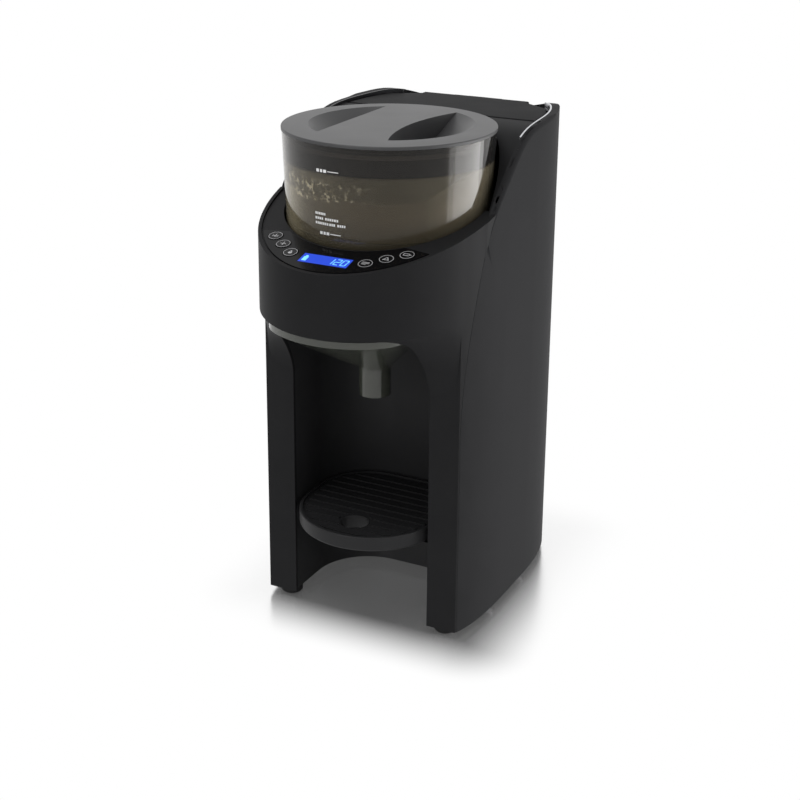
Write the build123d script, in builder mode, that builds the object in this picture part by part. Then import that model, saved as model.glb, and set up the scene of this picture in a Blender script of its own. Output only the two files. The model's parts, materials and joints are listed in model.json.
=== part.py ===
from build123d import *
import os
from math import atan, atan2, cos, degrees, radians, sin, sqrt

os.makedirs("parts", exist_ok=True)

# ---------------------------------------------------------------- driving sizes (mm)
# The origin is on the table under the middle of the machine: +X right, +Y to the back, +Z up.
fit_gap = 0.3                 # gap between neighbouring pieces
column_front = -72.0          # front plane of the two columns
foot_height = 6.0             # underside of the base over the table

body_half_width = 89.5        # widest half width, at the middle of the side walls
body_half_depth = 126.0       # half depth of the barrel-shaped plan
body_center_y = column_front + 88.0
body_power = 3.4              # squareness of the plan outline
outline_steps = 28
shell_wall = 2.6              # front fascia and rear cover
side_wall = 3.2               # side shells
side_rim = 5.5                # rolled rim of the side shells
rear_cover_half_width = 62.0

hopper_y = column_front + 45.0      # axis of hopper, metering wheel and drive
bottle_y = column_front + 24.0      # axis of spout, bottle and tray

head_half_width = 88.0
head_reach = 70.0             # how far the head stands in front of the columns
head_lip_z = 249.0            # lower lip of the head
sweep_start_z = 186.0         # height where the columns begin to sweep forward
sweep_curve = 2.4             # how late the sweep comes forward
corner_half_width = 77.5      # half width of the columns' front corners
corner_flare = 3.5            # how much those corners spread up to the lip
low_taper = 6.0               # how much narrower the sweep starts
corner_power_limit = 9.0
sweep_steps = (0.0, 0.25, 0.45, 0.62, 0.76, 0.88, 1.0)
lip_width = 5.0

deck_rise = 0.25              # rise of the deck for each mm towards the back
deck_front_z = 306.0          # deck height beside the front of the hopper
deck_front_y = column_front - 28.0
deck_drop = 1.4               # deck surface below the rim of the head
deck_thickness = 2.6
deck_hole_radius = 77.0
pocket_radius = 80.0          # tall wall behind the hopper
pocket_wall = 2.0
seat_floor_z = 297.0          # top of the floor that carries the hopper
seat_floor_thickness = 3.0
shoulder_back = 4.0           # shoulder behind and below the top line of the side shells
shoulder_drop = 2.0
shoulder_thickness = 2.6
top_line_z = 375.2            # highest line of the side shells

bay_half_width = 57.0         # opening between the columns
bay_corner_radius = 14.0
liner_half_width = 59.0       # inside of the alcove
liner_wall = 2.2
alcove_depth = 85.0           # column front to the alcove's back wall
alcove_corner_radius = 45.0
ceiling_z = 253.0             # underside of the bay ceiling
ceiling_thickness = 2.4

hopper_top_radius = 78.0
hopper_base_radius = 75.0
hopper_wall = 2.2
hopper_floor = 2.4
hopper_rim_z = 375.3
lid_radius = 78.5
lid_top_z = 378.0
collar_radius = 74.0
collar_wall = 2.4
collar_depth = 21.3
collar_lap = 0.7              # collar let into the lid's plate
lid_edge_radius = 0.8
recess_right_ends = 25.0      # the grip bar's right edge, at its two ends
recess_right_middle = 14.0
recess_right_outer = 59.5
recess_right_half = 56.5      # half the length of the right recess
recess_left_bar = 32.7        # the grip bar's left edge, straight
recess_left_outer = 61.2
recess_left_half = 53.2
recess_middle_y = 5.2         # the recesses' middle, behind the hopper axis
recess_depth = 15.0
recess_wall = 2.0
recess_draft = 0.6
recess_floor_share = 0.62     # the floor's length against the rim's
recess_floor_width = 0.4

gear_module = 1.25
gear_teeth = 48
pinion_teeth = 12
gear_bottom_z = 276.0
gear_thickness = 7.0
drive_shaft_radius = 5.0
running_fit = 0.05
dog_radius = 7.0
dog_height = 6.5
plate_z = 270.3               # underside of the gear plate
plate_thickness = 2.7

wheel_radius = 69.0
wheel_thickness = 8.0
outlet_offset = 44.0          # powder outlet in front of the hopper axis
outlet_radius = 9.0

funnel_half_width = 54.0
funnel_wall = 1.8
funnel_rim_height = 5.0
funnel_neck_z = 199.0
spout_radius = 12.0
spout_bottom_z = 177.0

tray_radius = 56.0
tray_top_z = 85.5
tray_thickness = 11.5
tray_center_y = column_front + 20.0
tray_clearance = 4.0
slot_pitch = 21.0
slot_height = 3.8
slot_width = 16.0
slot_half_spacing = 16.0

tank_front_y = column_front + 129.0
tank_inset = 7.2
tank_bottom_z = 186.3
tank_top_z = 366.0
tank_wall = 2.2
valve_y = column_front + 165.0
hinge_y = column_front + 203.0
hinge_z = tank_top_z + 3.0
hinge_pin_radius = 1.5

lens_thickness = 1.2
lens_inset = 4.0
lens_tip_x = 66.0
screen_width = 39.0
screen_depth = 12.5
screen_center = -23.5         # along the deck from deck_front_y
key_radius = 5.5
key_travel = 0.8
key_places = ((29.5, -20.2), (40.8, -10.6), (52.2, -1.6))    # across, and along the deck

top_cut_z = 420.0


# ---------------------------------------------------------------- shared outlines
def power_curve(half_x, half_y, power, center_y, angles):
    # superellipse: power 2 is an ellipse, higher powers are squarer
    points = []
    for angle in angles:
        across = cos(radians(angle))
        along = sin(radians(angle))
        x = half_x * abs(across) ** (2 / power)
        y = half_y * abs(along) ** (2 / power)
        points.append((x if across > 0 else -x, center_y + (y if along > 0 else -y)))
    return points


def body_plan(inset):
    angles = [90 + 360 * step / outline_steps for step in range(outline_steps)]
    with BuildSketch() as plan:
        with BuildLine():
            Spline(*power_curve(body_half_width - inset, body_half_depth - inset, body_power,
                                body_center_y, angles), periodic=True)
        make_face()
    return plan.sketch


def body_block(inset, bottom, top, front=-200.0, back=200.0):
    # the barrel-shaped body, drawn in by inset, between two heights and two depths
    with BuildPart() as block:
        with BuildSketch(Plane.XY.offset(bottom)):
            add(body_plan(inset))
            with Locations((0, (front + back) / 2)):
                Rectangle(4 * body_half_width, back - front, mode=Mode.INTERSECT)
        extrude(amount=top - bottom)
    return block.part


def bulge_power(reach, half_width, full_width):
    # squareness at which the bulge passes the front corner of the column
    depth = hopper_y - column_front
    low, high = 1.5, corner_power_limit
    for _ in range(30):
        middle = (low + high) / 2
        if (depth / (depth + reach)) ** middle + (half_width / full_width) ** middle > 1:
            low = middle
        else:
            high = middle
    return low


def head_section(share, inset, height):
    # plan of the head in front of the hopper axis; share 0 is the column, 1 the full head
    reach = head_reach * share ** sweep_curve
    full_width = head_half_width - low_taper * (1 - share) ** 2
    power = bulge_power(reach, corner_half_width + corner_flare * share, full_width)
    points = power_curve(full_width - inset, hopper_y - column_front + reach - inset, power,
                         hopper_y, [180 + 180 * step / 16 for step in range(17)])
    points[0] = (inset - full_width, hopper_y)
    points[-1] = (full_width - inset, hopper_y)
    with BuildSketch(Plane.XY.offset(height)) as section:
        with BuildLine():
            Spline(*points, tangents=((0, -1), (0, 1)))
            Line(points[-1], points[0])
        make_face()
    return section.sketch


def head_form(inset):
    # columns, sweep and head in front of the hopper axis, as one closed form
    lip = head_lip_z + inset
    sections = []
    for share in sweep_steps:
        height = sweep_start_z + share * (head_lip_z - sweep_start_z) + inset * share
        sections.append(head_section(share, inset, height))
    with BuildPart() as form:
        loft(sections=sections)
        extrude(head_section(1.0, inset, lip), amount=top_cut_z - lip)
        add(body_block(inset, foot_height, top_cut_z, column_front + inset, hopper_y))
    return form.part


def side_region(back, drop):
    # what lies behind the seam and below the top line, seen from the side
    shape = ((1.5, 150), (3.5, 200), (11, 246), (20, 281), (33, 313.5), (60, 345.5), (92, 368.5),
             (130, top_line_z - 0.8), (170, top_line_z), (197, top_line_z - 1.7), (211, 365), (217, 349))
    points = [(column_front + y + back, z - drop) for y, z in shape]
    with BuildPart() as region:
        with BuildSketch(Plane.YZ):
            with BuildLine():
                Spline(*points)
                Polyline(points[-1], (points[-1][0], foot_height), (points[0][0], foot_height), points[0])
            make_face()
        extrude(amount=2 * body_half_width, both=True)
    return region.part


def alcove_plan(half_width, back, corner_radius, front):
    # U in plan, open to the front
    with BuildSketch() as plan:
        with Locations((0, (front + back) / 2)):
            Rectangle(2 * half_width, back - front)
        fillet(plan.vertices().group_by(Axis.Y)[-1], corner_radius)
    return plan.sketch


deck_angle = degrees(atan(deck_rise))
deck_plane = Plane(origin=(0, deck_front_y, deck_front_z), x_dir=(1, 0, 0),
                   z_dir=(0, -sin(radians(deck_angle)), cos(radians(deck_angle))))


def above_deck(height):
    # everything over a plane that lies height above the head's rim
    with BuildPart() as block:
        with BuildSketch(deck_plane.offset(height)):
            Rectangle(500, 500)
        extrude(amount=250)
    return block.part


def side_zone(inset, gap):
    # space of the two side shells, as deep as inset, with a gap round it
    with BuildPart() as zone:
        add(body_block(-gap, 0, top_cut_z))
        add(body_block(inset + gap, 0, top_cut_z), mode=Mode.SUBTRACT)
        add(side_region(-gap, -gap), mode=Mode.INTERSECT)
        with Locations((0, body_center_y, 0)):
            Box(2 * rear_cover_half_width, 400, 900, mode=Mode.SUBTRACT)
    return zone.part


def cylinder_between(radius, bottom, top, x=0.0, y=0.0):
    with BuildPart() as rod:
        with BuildSketch(Plane.XY.offset(bottom)):
            with Locations((x, y)):
                Circle(radius)
        extrude(amount=top - bottom)
    return rod.part


def write(builder, name):
    builder.part.label = name
    export_step(builder.part, "parts/" + name + ".step")


# ---------------------------------------------------------------- front fascia: head and columns
with BuildPart() as behind_seam:
    add(side_region(-fit_gap, 0))
    Box(2 * (corner_half_width + 2), 900, 900, mode=Mode.SUBTRACT)

side_zone_solid = side_zone(side_rim, fit_gap)
with BuildPart() as front_fascia:
    add(head_form(0))
    add(head_form(shell_wall), mode=Mode.SUBTRACT)
    # open arch between the columns
    with BuildSketch(Plane.XZ.offset(-hopper_y)) as arch:
        with Locations((0, head_lip_z / 2)):
            Rectangle(2 * bay_half_width, head_lip_z)
        fillet(arch.vertices().group_by(Axis.Y)[-1], bay_corner_radius)
    extrude(amount=200, mode=Mode.SUBTRACT)
    # the head is open below, inside a narrow lip
    with BuildSketch(Plane.XY.offset(head_lip_z)):
        add(head_section(1.0, lip_width, 0))
        Rectangle(2 * bay_half_width - 2 * lip_width, 400, mode=Mode.INTERSECT)
    extrude(amount=shell_wall, mode=Mode.SUBTRACT)
    add(above_deck(0), mode=Mode.SUBTRACT)
    # the side walls end at the seam to the side shells
    add(behind_seam.part, mode=Mode.SUBTRACT)
    add(side_zone_solid, mode=Mode.SUBTRACT)
write(front_fascia, "front_fascia")


# ---------------------------------------------------------------- side shells with their trim lines
rim_face = 5.0                # width of the rolled rim seen from the side
rim_cut = side_region(rim_face, rim_face + 1)
shell_x = rear_cover_half_width + fit_gap / 2
boss_radius = 4.0
boss_x = body_half_width - side_wall - boss_radius + 0.3
boss_places = [(boss_x, column_front + 60.0), (boss_x, column_front + 120.0)]
screw_radius = 1.6
boss_top = 22.0
base_thickness = 2.5
base_top = foot_height + base_thickness
trim_width = 1.2
trim_front = column_front + 91.0
shelf_bottom = tank_bottom_z - fit_gap - 4.0
ledge_width = 5.0
ledge_height = 6.0

with BuildPart() as rim_ring:
    add(body_block(0, foot_height, top_cut_z))
    add(body_block(side_rim, 0, top_cut_z), mode=Mode.SUBTRACT)
    add(rim_cut, mode=Mode.SUBTRACT)

# ledge inside each shell that carries the tank shelf
with BuildPart() as ledge_ring:
    add(body_block(side_wall - 0.5, shelf_bottom - 0.1 - ledge_height, shelf_bottom - 0.1,
                   tank_front_y + 3, tank_front_y + 43))
    add(body_block(side_wall + ledge_width, 0, top_cut_z), mode=Mode.SUBTRACT)

with BuildPart() as shell_pair:
    add(body_block(0, foot_height, top_cut_z))
    add(body_block(side_wall, 0, top_cut_z), mode=Mode.SUBTRACT)
    add(rim_ring.part)
    add(ledge_ring.part)
    add(side_region(0, 0), mode=Mode.INTERSECT)

with BuildPart() as trim_pair:
    add(body_block(side_rim + 0.1, foot_height, top_cut_z, front=trim_front))
    add(body_block(side_rim + 0.1 + trim_width, 0, top_cut_z), mode=Mode.SUBTRACT)
    add(rim_cut, mode=Mode.SUBTRACT)
    add(side_region(0, 0), mode=Mode.INTERSECT)


def screw_bosses(sign):
    with BuildPart() as bosses:
        for x, y in boss_places:
            add(cylinder_between(boss_radius, base_top + fit_gap, boss_top, sign * x, y))
            add(cylinder_between(screw_radius + 0.1, 0, boss_top - 4, sign * x, y), mode=Mode.SUBTRACT)
    return bosses.part


for side, sign in (("right", 1), ("left", -1)):
    with BuildPart() as side_shell:
        add(shell_pair.part)
        with Locations((sign * (shell_x + 100), 0, 0)):
            Box(200, 900, 1000, mode=Mode.INTERSECT)
        add(screw_bosses(sign))
    write(side_shell, "side_shell_" + side)

    with BuildPart() as edge_trim:
        add(trim_pair.part)
        with Locations((sign * (shell_x + 100), 0, 0)):
            Box(200, 900, 1000, mode=Mode.INTERSECT)
    write(edge_trim, "edge_trim_" + side)


# ---------------------------------------------------------------- deck, hopper pocket and shoulder
seat_bottom_z = seat_floor_z - seat_floor_thickness
outlet_y = hopper_y - outlet_offset
shoulder_region = side_region(shoulder_back, shoulder_drop)
inner_inset = side_rim + trim_width + 0.4
shoulder_back_y = tank_front_y - fit_gap
deck_form = head_form(shell_wall + fit_gap)
key_spots = [(sign * x, v) for x, v in key_places for sign in (1, -1)]


def deck_layer():
    # inclined plate as wide as the inside of the head
    with BuildPart() as layer:
        add(deck_form)
        add(above_deck(-deck_drop), mode=Mode.SUBTRACT)
        with BuildSketch(deck_plane.offset(-deck_drop - deck_thickness)):
            Rectangle(600, 600)
        extrude(amount=-400, mode=Mode.SUBTRACT)
    return layer.part


with BuildPart() as shoulder:
    add(body_block(inner_inset, deck_front_z, top_cut_z, hopper_y - 12, shoulder_back_y))
    add(shoulder_region, mode=Mode.INTERSECT)
    add(side_region(shoulder_back, shoulder_drop + shoulder_thickness), mode=Mode.SUBTRACT)

with BuildPart() as open_top:
    add(above_deck(-deck_drop))
    add(shoulder_region, mode=Mode.SUBTRACT)

# tall pocket wall, cut to the deck in front and to the shoulder behind
with BuildPart() as pocket:
    add(cylinder_between(pocket_radius + pocket_wall, seat_bottom_z, top_cut_z, 0, hopper_y))
    add(body_block(inner_inset, 0, top_cut_z), mode=Mode.INTERSECT)
    add(open_top.part, mode=Mode.SUBTRACT)

with BuildPart() as pocket_space:
    add(cylinder_between(pocket_radius, seat_floor_z, top_cut_z, 0, hopper_y))
    add(deck_layer(), mode=Mode.SUBTRACT)
    add(cylinder_between(deck_hole_radius, seat_floor_z, top_cut_z, 0, hopper_y))

with BuildPart() as hopper_cradle:
    add(deck_layer())
    add(cylinder_between(deck_hole_radius, 0, top_cut_z, 0, hopper_y), mode=Mode.SUBTRACT)
    # windows for the screen and the six keys
    with BuildSketch(deck_plane):
        with Locations((0, screen_center)):
            Rectangle(screen_width + 1, screen_depth + 1)
        with Locations(*key_spots):
            Circle(key_radius + 0.5)
    extrude(amount=-30, mode=Mode.SUBTRACT)
    add(shoulder.part)
    add(pocket.part)
    # the pocket is open above the seat floor, up to the lip of the deck
    add(pocket_space.part, mode=Mode.SUBTRACT)
    # shaft hole and powder outlet in the seat floor
    add(cylinder_between(dog_radius + 1.5, 0, seat_floor_z, 0, hopper_y), mode=Mode.SUBTRACT)
    add(cylinder_between(outlet_radius, 0, seat_floor_z, 0, outlet_y), mode=Mode.SUBTRACT)
    add(side_zone_solid, mode=Mode.SUBTRACT)
write(hopper_cradle, "hopper_cradle")

# ---------------------------------------------------------------- bay liner with ceiling, rails and tray slots
liner_back = column_front + alcove_depth
outer_half = liner_half_width + liner_wall
ceiling_top = ceiling_z + ceiling_thickness
rail_z = head_lip_z - bay_corner_radius - 4.0
rail_height = 2.0
nozzle_x = 36.0
nozzle_y = column_front + 50.0
nozzle_radius = 5.0
chute_radius = outlet_radius + 1.6
slot_rows = [tray_top_z - tray_thickness - slot_height - slot_pitch * row for row in range(3)]

with BuildPart() as liner_space:
    add(deck_form)
    with Locations((0, hopper_y + 99.99, 200)):
        Box(400, 200, 600)

with BuildPart() as bay_liner:
    with BuildSketch(Plane.XY.offset(foot_height)):
        add(alcove_plan(outer_half, liner_back + liner_wall, alcove_corner_radius + liner_wall,
                        column_front - head_reach))
        add(alcove_plan(liner_half_width, liner_back, alcove_corner_radius,
                        column_front - head_reach - 5), mode=Mode.SUBTRACT)
    extrude(amount=ceiling_top - foot_height)
    with BuildSketch(Plane.XY.offset(ceiling_z)):
        add(head_section(1.0, shell_wall + fit_gap, 0))
        add(alcove_plan(outer_half, liner_back + liner_wall, alcove_corner_radius + liner_wall, hopper_y - 10))
    extrude(amount=ceiling_thickness)
    # rails that carry the funnel's flanges
    with BuildSketch(Plane.XY.offset(rail_z)):
        for side in (1, -1):
            with Locations((side * (liner_half_width - 2.0), bottle_y + 2)):
                Rectangle(5.6, 50)
    extrude(amount=rail_height)
    add(liner_space.part, mode=Mode.INTERSECT)
    add(side_zone_solid, mode=Mode.SUBTRACT)
    add(cylinder_between(chute_radius + 0.3, ceiling_z - 1, ceiling_top + 1, 0, outlet_y), mode=Mode.SUBTRACT)
    add(cylinder_between(nozzle_radius + 0.3, ceiling_z - 1, ceiling_top + 1, nozzle_x, nozzle_y),
        mode=Mode.SUBTRACT)
    # pairs of slots for the tray, one pair for each level
    for z in slot_rows:
        with Locations((slot_half_spacing, liner_back, z + slot_height / 2),
                       (-slot_half_spacing, liner_back, z + slot_height / 2)):
            Box(slot_width, 20, slot_height, mode=Mode.SUBTRACT)
write(bay_liner, "bay_liner")

# ---------------------------------------------------------------- base plate, feet and screws
with BuildPart() as base_plate:
    add(body_block(side_wall + fit_gap, foot_height, base_top, column_front + rim_face + 2.2))
    with BuildSketch(Plane.XY.offset(foot_height)):
        add(alcove_plan(outer_half + fit_gap, liner_back + liner_wall + fit_gap,
                        alcove_corner_radius + liner_wall, column_front - 20))
    extrude(amount=base_thickness, mode=Mode.SUBTRACT)
    for x, y in boss_places:
        for side in (1, -1):
            add(cylinder_between(screw_radius + 0.3, 0, 20, side * x, y), mode=Mode.SUBTRACT)
write(base_plate, "base_plate")

foot_places = [(67.5, column_front + 11.5), (52.0, column_front + 188.0)]
foot_radius = 8.5
with BuildPart() as rubber_feet:
    for x, y in foot_places:
        for side in (1, -1):
            with BuildSketch():
                with Locations((side * x, y)):
                    Circle(foot_radius)
            extrude(amount=foot_height)
    chamfer(rubber_feet.faces().filter_by(Axis.Z).group_by(Axis.Z)[0].edges(), 1.6)
write(rubber_feet, "rubber_feet")

screw_head_radius = 3.2
with BuildPart() as base_screws:
    for x, y in boss_places:
        for side in (1, -1):
            add(cylinder_between(screw_radius, foot_height, boss_top - 6, side * x, y))
            add(cylinder_between(screw_head_radius, foot_height - 2, foot_height, side * x, y))
write(base_screws, "base_screws")

# ---------------------------------------------------------------- rear cover with vents and mains inlet
inlet_z = 32.0
inlet_width = 26.0
inlet_height = 17.0
inlet_depth = 22.0
socket_width = 15.6
socket_height = 8.4
socket_depth = 14.0
back_y = body_center_y + body_half_depth
vent_count = 9
vent_pitch = 7.0
vent_width = 3.0
vent_length = 46.0
vent_z = 96.0
cover_x = rear_cover_half_width - fit_gap / 2
with BuildPart() as rear_cover:
    add(body_block(0, foot_height, top_cut_z, front=body_center_y))
    add(body_block(shell_wall, 0, top_cut_z), mode=Mode.SUBTRACT)
    add(side_region(0, 0), mode=Mode.INTERSECT)
    with Locations((0, body_center_y, 0)):
        Box(2 * cover_x, 500, 1000, mode=Mode.INTERSECT)
    with BuildSketch(Plane.XZ.offset(-back_y - 5)):
        with Locations((0, vent_z)):
            with GridLocations(vent_pitch, 1, vent_count, 1):
                SlotOverall(vent_length, vent_width, rotation=90)
        with Locations((0, inlet_z)):
            RectangleRounded(inlet_width + 2 * fit_gap, inlet_height + 2 * fit_gap, 4)
    extrude(amount=20, mode=Mode.SUBTRACT)
write(rear_cover, "rear_cover")

with BuildPart() as mains_inlet:
    with BuildSketch(Plane.XZ.offset(-back_y)):
        with Locations((0, inlet_z)):
            RectangleRounded(inlet_width, inlet_height, 4)
    extrude(amount=inlet_depth)
    with BuildSketch(Plane.XZ.offset(-back_y)):
        with Locations((0, inlet_z)):
            SlotOverall(socket_width, socket_height)
    extrude(amount=socket_depth, mode=Mode.SUBTRACT)
    with BuildSketch(Plane.XZ.offset(socket_depth + 1 - back_y)):
        with Locations((-4.3, inlet_z), (4.3, inlet_z)):
            Circle(1.2)
    extrude(amount=4 - socket_depth - 1)
write(mains_inlet, "mains_inlet")

# ---------------------------------------------------------------- control panel
along_scale = sqrt(1 + deck_rise ** 2)
lens_reach = hopper_y - column_front + head_reach - lens_inset
lens_notch_half = 46.0        # where the inner edge leaves the hopper and runs straight to the tips
hopper_clear = deck_hole_radius + 3.0


def lens_edge(x):
    y = hopper_y - lens_reach * sqrt(1 - (x / (head_half_width - lens_inset)) ** 2)
    return (x, (y - deck_front_y) * along_scale)


def lens_inner(x):
    return (x, (hopper_y - sqrt(hopper_clear ** 2 - x ** 2) - deck_front_y) * along_scale)


with BuildPart() as control_lens:
    with BuildSketch(deck_plane.offset(-deck_drop)):
        with BuildLine():
            Spline(*[lens_edge(lens_tip_x * share / 4) for share in range(-4, 5)])
            Line(lens_edge(lens_tip_x), lens_inner(lens_notch_half))
            ThreePointArc(lens_inner(lens_notch_half), lens_inner(0), lens_inner(-lens_notch_half))
            Line(lens_inner(-lens_notch_half), lens_edge(-lens_tip_x))
        make_face()
        with Locations(*key_spots):
            Circle(key_radius + 0.35, mode=Mode.SUBTRACT)
        with Locations((0, screen_center)):
            Rectangle(screen_width, screen_depth, mode=Mode.SUBTRACT)
    extrude(amount=lens_thickness)
write(control_lens, "control_lens")

board_depth = 9.0             # top of the display board below the deck's surface
screen_base = deck_drop + board_depth - 0.2
with BuildPart() as display_module:
    with BuildSketch(deck_plane.offset(-screen_base)):
        with Locations((0, screen_center)):
            Rectangle(screen_width - 0.4, screen_depth - 0.4)
    extrude(amount=screen_base - 0.25)
write(display_module, "display_module")

board_thickness = 1.6
with BuildPart() as display_board:
    with BuildSketch(deck_plane.offset(-deck_drop - board_depth - board_thickness)):
        with BuildLine():
            ThreePointArc((-60, 3), (0, -34), (60, 3))
            ThreePointArc((60, 3), (0, -13), (-60, 3))
        make_face()
    extrude(amount=board_thickness)
    # one small switch under each key
    with BuildSketch(deck_plane.offset(-deck_drop - board_depth)):
        with Locations(*key_spots):
            Rectangle(5, 5)
    extrude(amount=3)
write(display_board, "display_board")

# each key hangs by its flange under the deck and lands on its switch
key_names = ("key_inner_right", "key_inner_left", "key_middle_right", "key_middle_left",
             "key_outer_right", "key_outer_left")
key_bottom = deck_drop + board_depth - 3 - key_travel - 0.3
flange_top = deck_drop + deck_thickness + 0.3
for key_name, spot in zip(key_names, key_spots):
    with BuildPart() as key:
        with BuildSketch(deck_plane.offset(-flange_top)):
            with Locations(spot):
                Circle(key_radius)
        extrude(amount=flange_top + 0.3)
        chamfer(key.edges().filter_by(GeomType.CIRCLE).sort_by(Axis.Z)[-1], 0.3)
        with BuildSketch(deck_plane.offset(-flange_top - 0.9)):
            with Locations(spot):
                Circle(key_radius + 1.3)
        extrude(amount=0.9)
        with BuildSketch(deck_plane.offset(-key_bottom)):
            with Locations(spot):
                Circle(1.6)
        extrude(amount=key_bottom - flange_top)
    write(key, key_name)

# ---------------------------------------------------------------- hopper
hopper_bottom_z = seat_floor_z + fit_gap
hopper_foot_radius = 6.0


def hopper_form(shrink, bottom, top):
    # turned cup: rounded foot, slightly flared wall
    foot = hopper_foot_radius - shrink
    with BuildPart() as form:
        with BuildSketch(Plane.XZ.offset(-hopper_y)):
            with BuildLine():
                Line((0, bottom), (hopper_base_radius - shrink - foot, bottom))
                RadiusArc((hopper_base_radius - shrink - foot, bottom),
                          (hopper_base_radius - shrink, bottom + foot), -foot)
                Polyline((hopper_base_radius - shrink, bottom + foot), (hopper_top_radius - shrink, top),
                         (0, top), (0, bottom))
            make_face()
        revolve(axis=Axis((0, hopper_y, 0), (0, 0, 1)))
    return form.part


with BuildPart() as hopper_container:
    add(hopper_form(0, hopper_bottom_z, hopper_rim_z))
    add(hopper_form(hopper_wall, hopper_bottom_z + hopper_floor, hopper_rim_z), mode=Mode.SUBTRACT)
    add(cylinder_between(dog_radius + 1.5, 0, seat_floor_z + 10, 0, hopper_y), mode=Mode.SUBTRACT)
    add(cylinder_between(outlet_radius - 0.5, 0, seat_floor_z + 10, 0, outlet_y), mode=Mode.SUBTRACT)
write(hopper_container, "hopper_container")

# metering wheel: a rimmed disc whose round pockets carry the powder to the outlet
wheel_bottom = hopper_bottom_z + hopper_floor + fit_gap
wheel_top = wheel_bottom + wheel_thickness
pocket_count = 8
with BuildPart() as metering_wheel:
    with BuildSketch(Plane.XY.offset(wheel_bottom)):
        with Locations((0, hopper_y)):
            Circle(wheel_radius)
            with PolarLocations(outlet_offset, pocket_count):
                Circle(outlet_radius + 1, mode=Mode.SUBTRACT)
            RegularPolygon(dog_radius + 0.5, 6, mode=Mode.SUBTRACT)
    extrude(amount=wheel_thickness)
    with BuildSketch(Plane.XY.offset(wheel_top - 1)):
        with Locations((0, hopper_y)):
            Circle(12)
    extrude(amount=6)
write(metering_wheel, "metering_wheel")

stirrer_bottom = wheel_top + 5.0 + 0.2
with BuildPart() as stirrer:
    with BuildSketch(Plane.XY.offset(stirrer_bottom)):
        with Locations((0, hopper_y)):
            Circle(11)
            with PolarLocations(33, 3):
                SlotOverall(66, 6)
    extrude(amount=3)
    # hub and two rows of pins that break up lumps
    with BuildSketch(Plane.XY.offset(stirrer_bottom)):
        with Locations((0, hopper_y)):
            Circle(8)
            with PolarLocations(60, 3):
                Circle(2.5)
            with PolarLocations(36, 3):
                Circle(2.5)
    extrude(amount=20)
write(stirrer, "stirrer")

# scraper bridging the outlet, held by the container wall
scraper_z = wheel_top + 0.4
with BuildPart() as powder_scraper:
    with BuildSketch(Plane.XY.offset(scraper_z)):
        with Locations((0, hopper_y)):
            Circle(hopper_base_radius - hopper_wall + 0.2)
        with Locations((0, hopper_y - 52)):
            Rectangle(26, 48, mode=Mode.INTERSECT)
    extrude(amount=2.2)
write(powder_scraper, "powder_scraper")

# ---------------------------------------------------------------- hopper lid and gasket
lid_bottom_z = hopper_rim_z + fit_gap


def recess_outline(bar_ends, bar_middle, outer_middle, half_length, middle_y):
    # flat outline of a finger recess: the grip bar's edge on one side, an arc on the other
    low = (bar_ends, middle_y - half_length)
    high = (bar_ends, middle_y + half_length)
    with BuildSketch() as outline:
        with BuildLine():
            if bar_ends == bar_middle:
                Line(low, high)
            else:
                ThreePointArc(low, (bar_middle, middle_y), high)
            ThreePointArc(high, (outer_middle, middle_y), low)
        make_face()
    return outline.sketch


def recess_form(bar_ends, bar_middle, outer_middle, half_length, grow, depth):
    # deep beside the grip bar, its floor rising to the outer arc
    away = 1 if outer_middle > 0 else -1
    low_length = half_length * recess_floor_share
    low_ends = bar_middle + (bar_ends - bar_middle) * recess_floor_share ** 2
    low_outer = bar_middle + (outer_middle - bar_middle) * recess_floor_width
    upper = recess_outline(bar_ends - away * grow, bar_middle - away * grow, outer_middle + away * grow,
                           half_length + grow, recess_middle_y)
    lower = recess_outline(low_ends + away * (recess_draft - grow), bar_middle + away * (recess_draft - grow),
                           low_outer + away * grow, low_length + grow, recess_middle_y)
    return loft(sections=[Plane((0, hopper_y, lid_top_z - depth)) * lower,
                          Plane((0, hopper_y, lid_top_z)) * upper])


right_recess = (recess_right_ends, recess_right_middle, recess_right_outer, recess_right_half)
left_recess = (-recess_left_bar, -recess_left_bar, -recess_left_outer, recess_left_half)
with BuildPart() as hopper_lid:
    with BuildSketch(Plane.XY.offset(lid_bottom_z)):
        with Locations((0, hopper_y)):
            Circle(lid_radius)
    extrude(amount=lid_top_z - lid_bottom_z)
    fillet(hopper_lid.edges().group_by(Axis.Z)[-1], lid_edge_radius)
    with BuildSketch(Plane.XY.offset(lid_bottom_z + collar_lap - collar_depth)):
        with Locations((0, hopper_y)):
            Circle(collar_radius)
            Circle(collar_radius - collar_wall, mode=Mode.SUBTRACT)
    extrude(amount=collar_depth)
    # the two recess bowls stand below the plate
    for recess in (right_recess, left_recess):
        add(recess_form(*recess, recess_wall, recess_depth + recess_wall))
    for recess in (right_recess, left_recess):
        add(recess_form(*recess, 0, recess_depth), mode=Mode.SUBTRACT)
write(hopper_lid, "hopper_lid")

gasket_z = lid_bottom_z - 8.0
with BuildPart() as lid_gasket:
    with BuildSketch(Plane.XY.offset(gasket_z)):
        with Locations((0, hopper_y)):
            Circle(hopper_top_radius - hopper_wall - 0.7)
            Circle(collar_radius, mode=Mode.SUBTRACT)
    extrude(amount=3)
write(lid_gasket, "lid_gasket")

# ---------------------------------------------------------------- drive: motor, gears and shaft
pitch_radius = gear_module * gear_teeth / 2
pinion_pitch_radius = gear_module * pinion_teeth / 2
motor_y = hopper_y + pitch_radius + pinion_pitch_radius
tooth_height = 0.8 * gear_module


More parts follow.
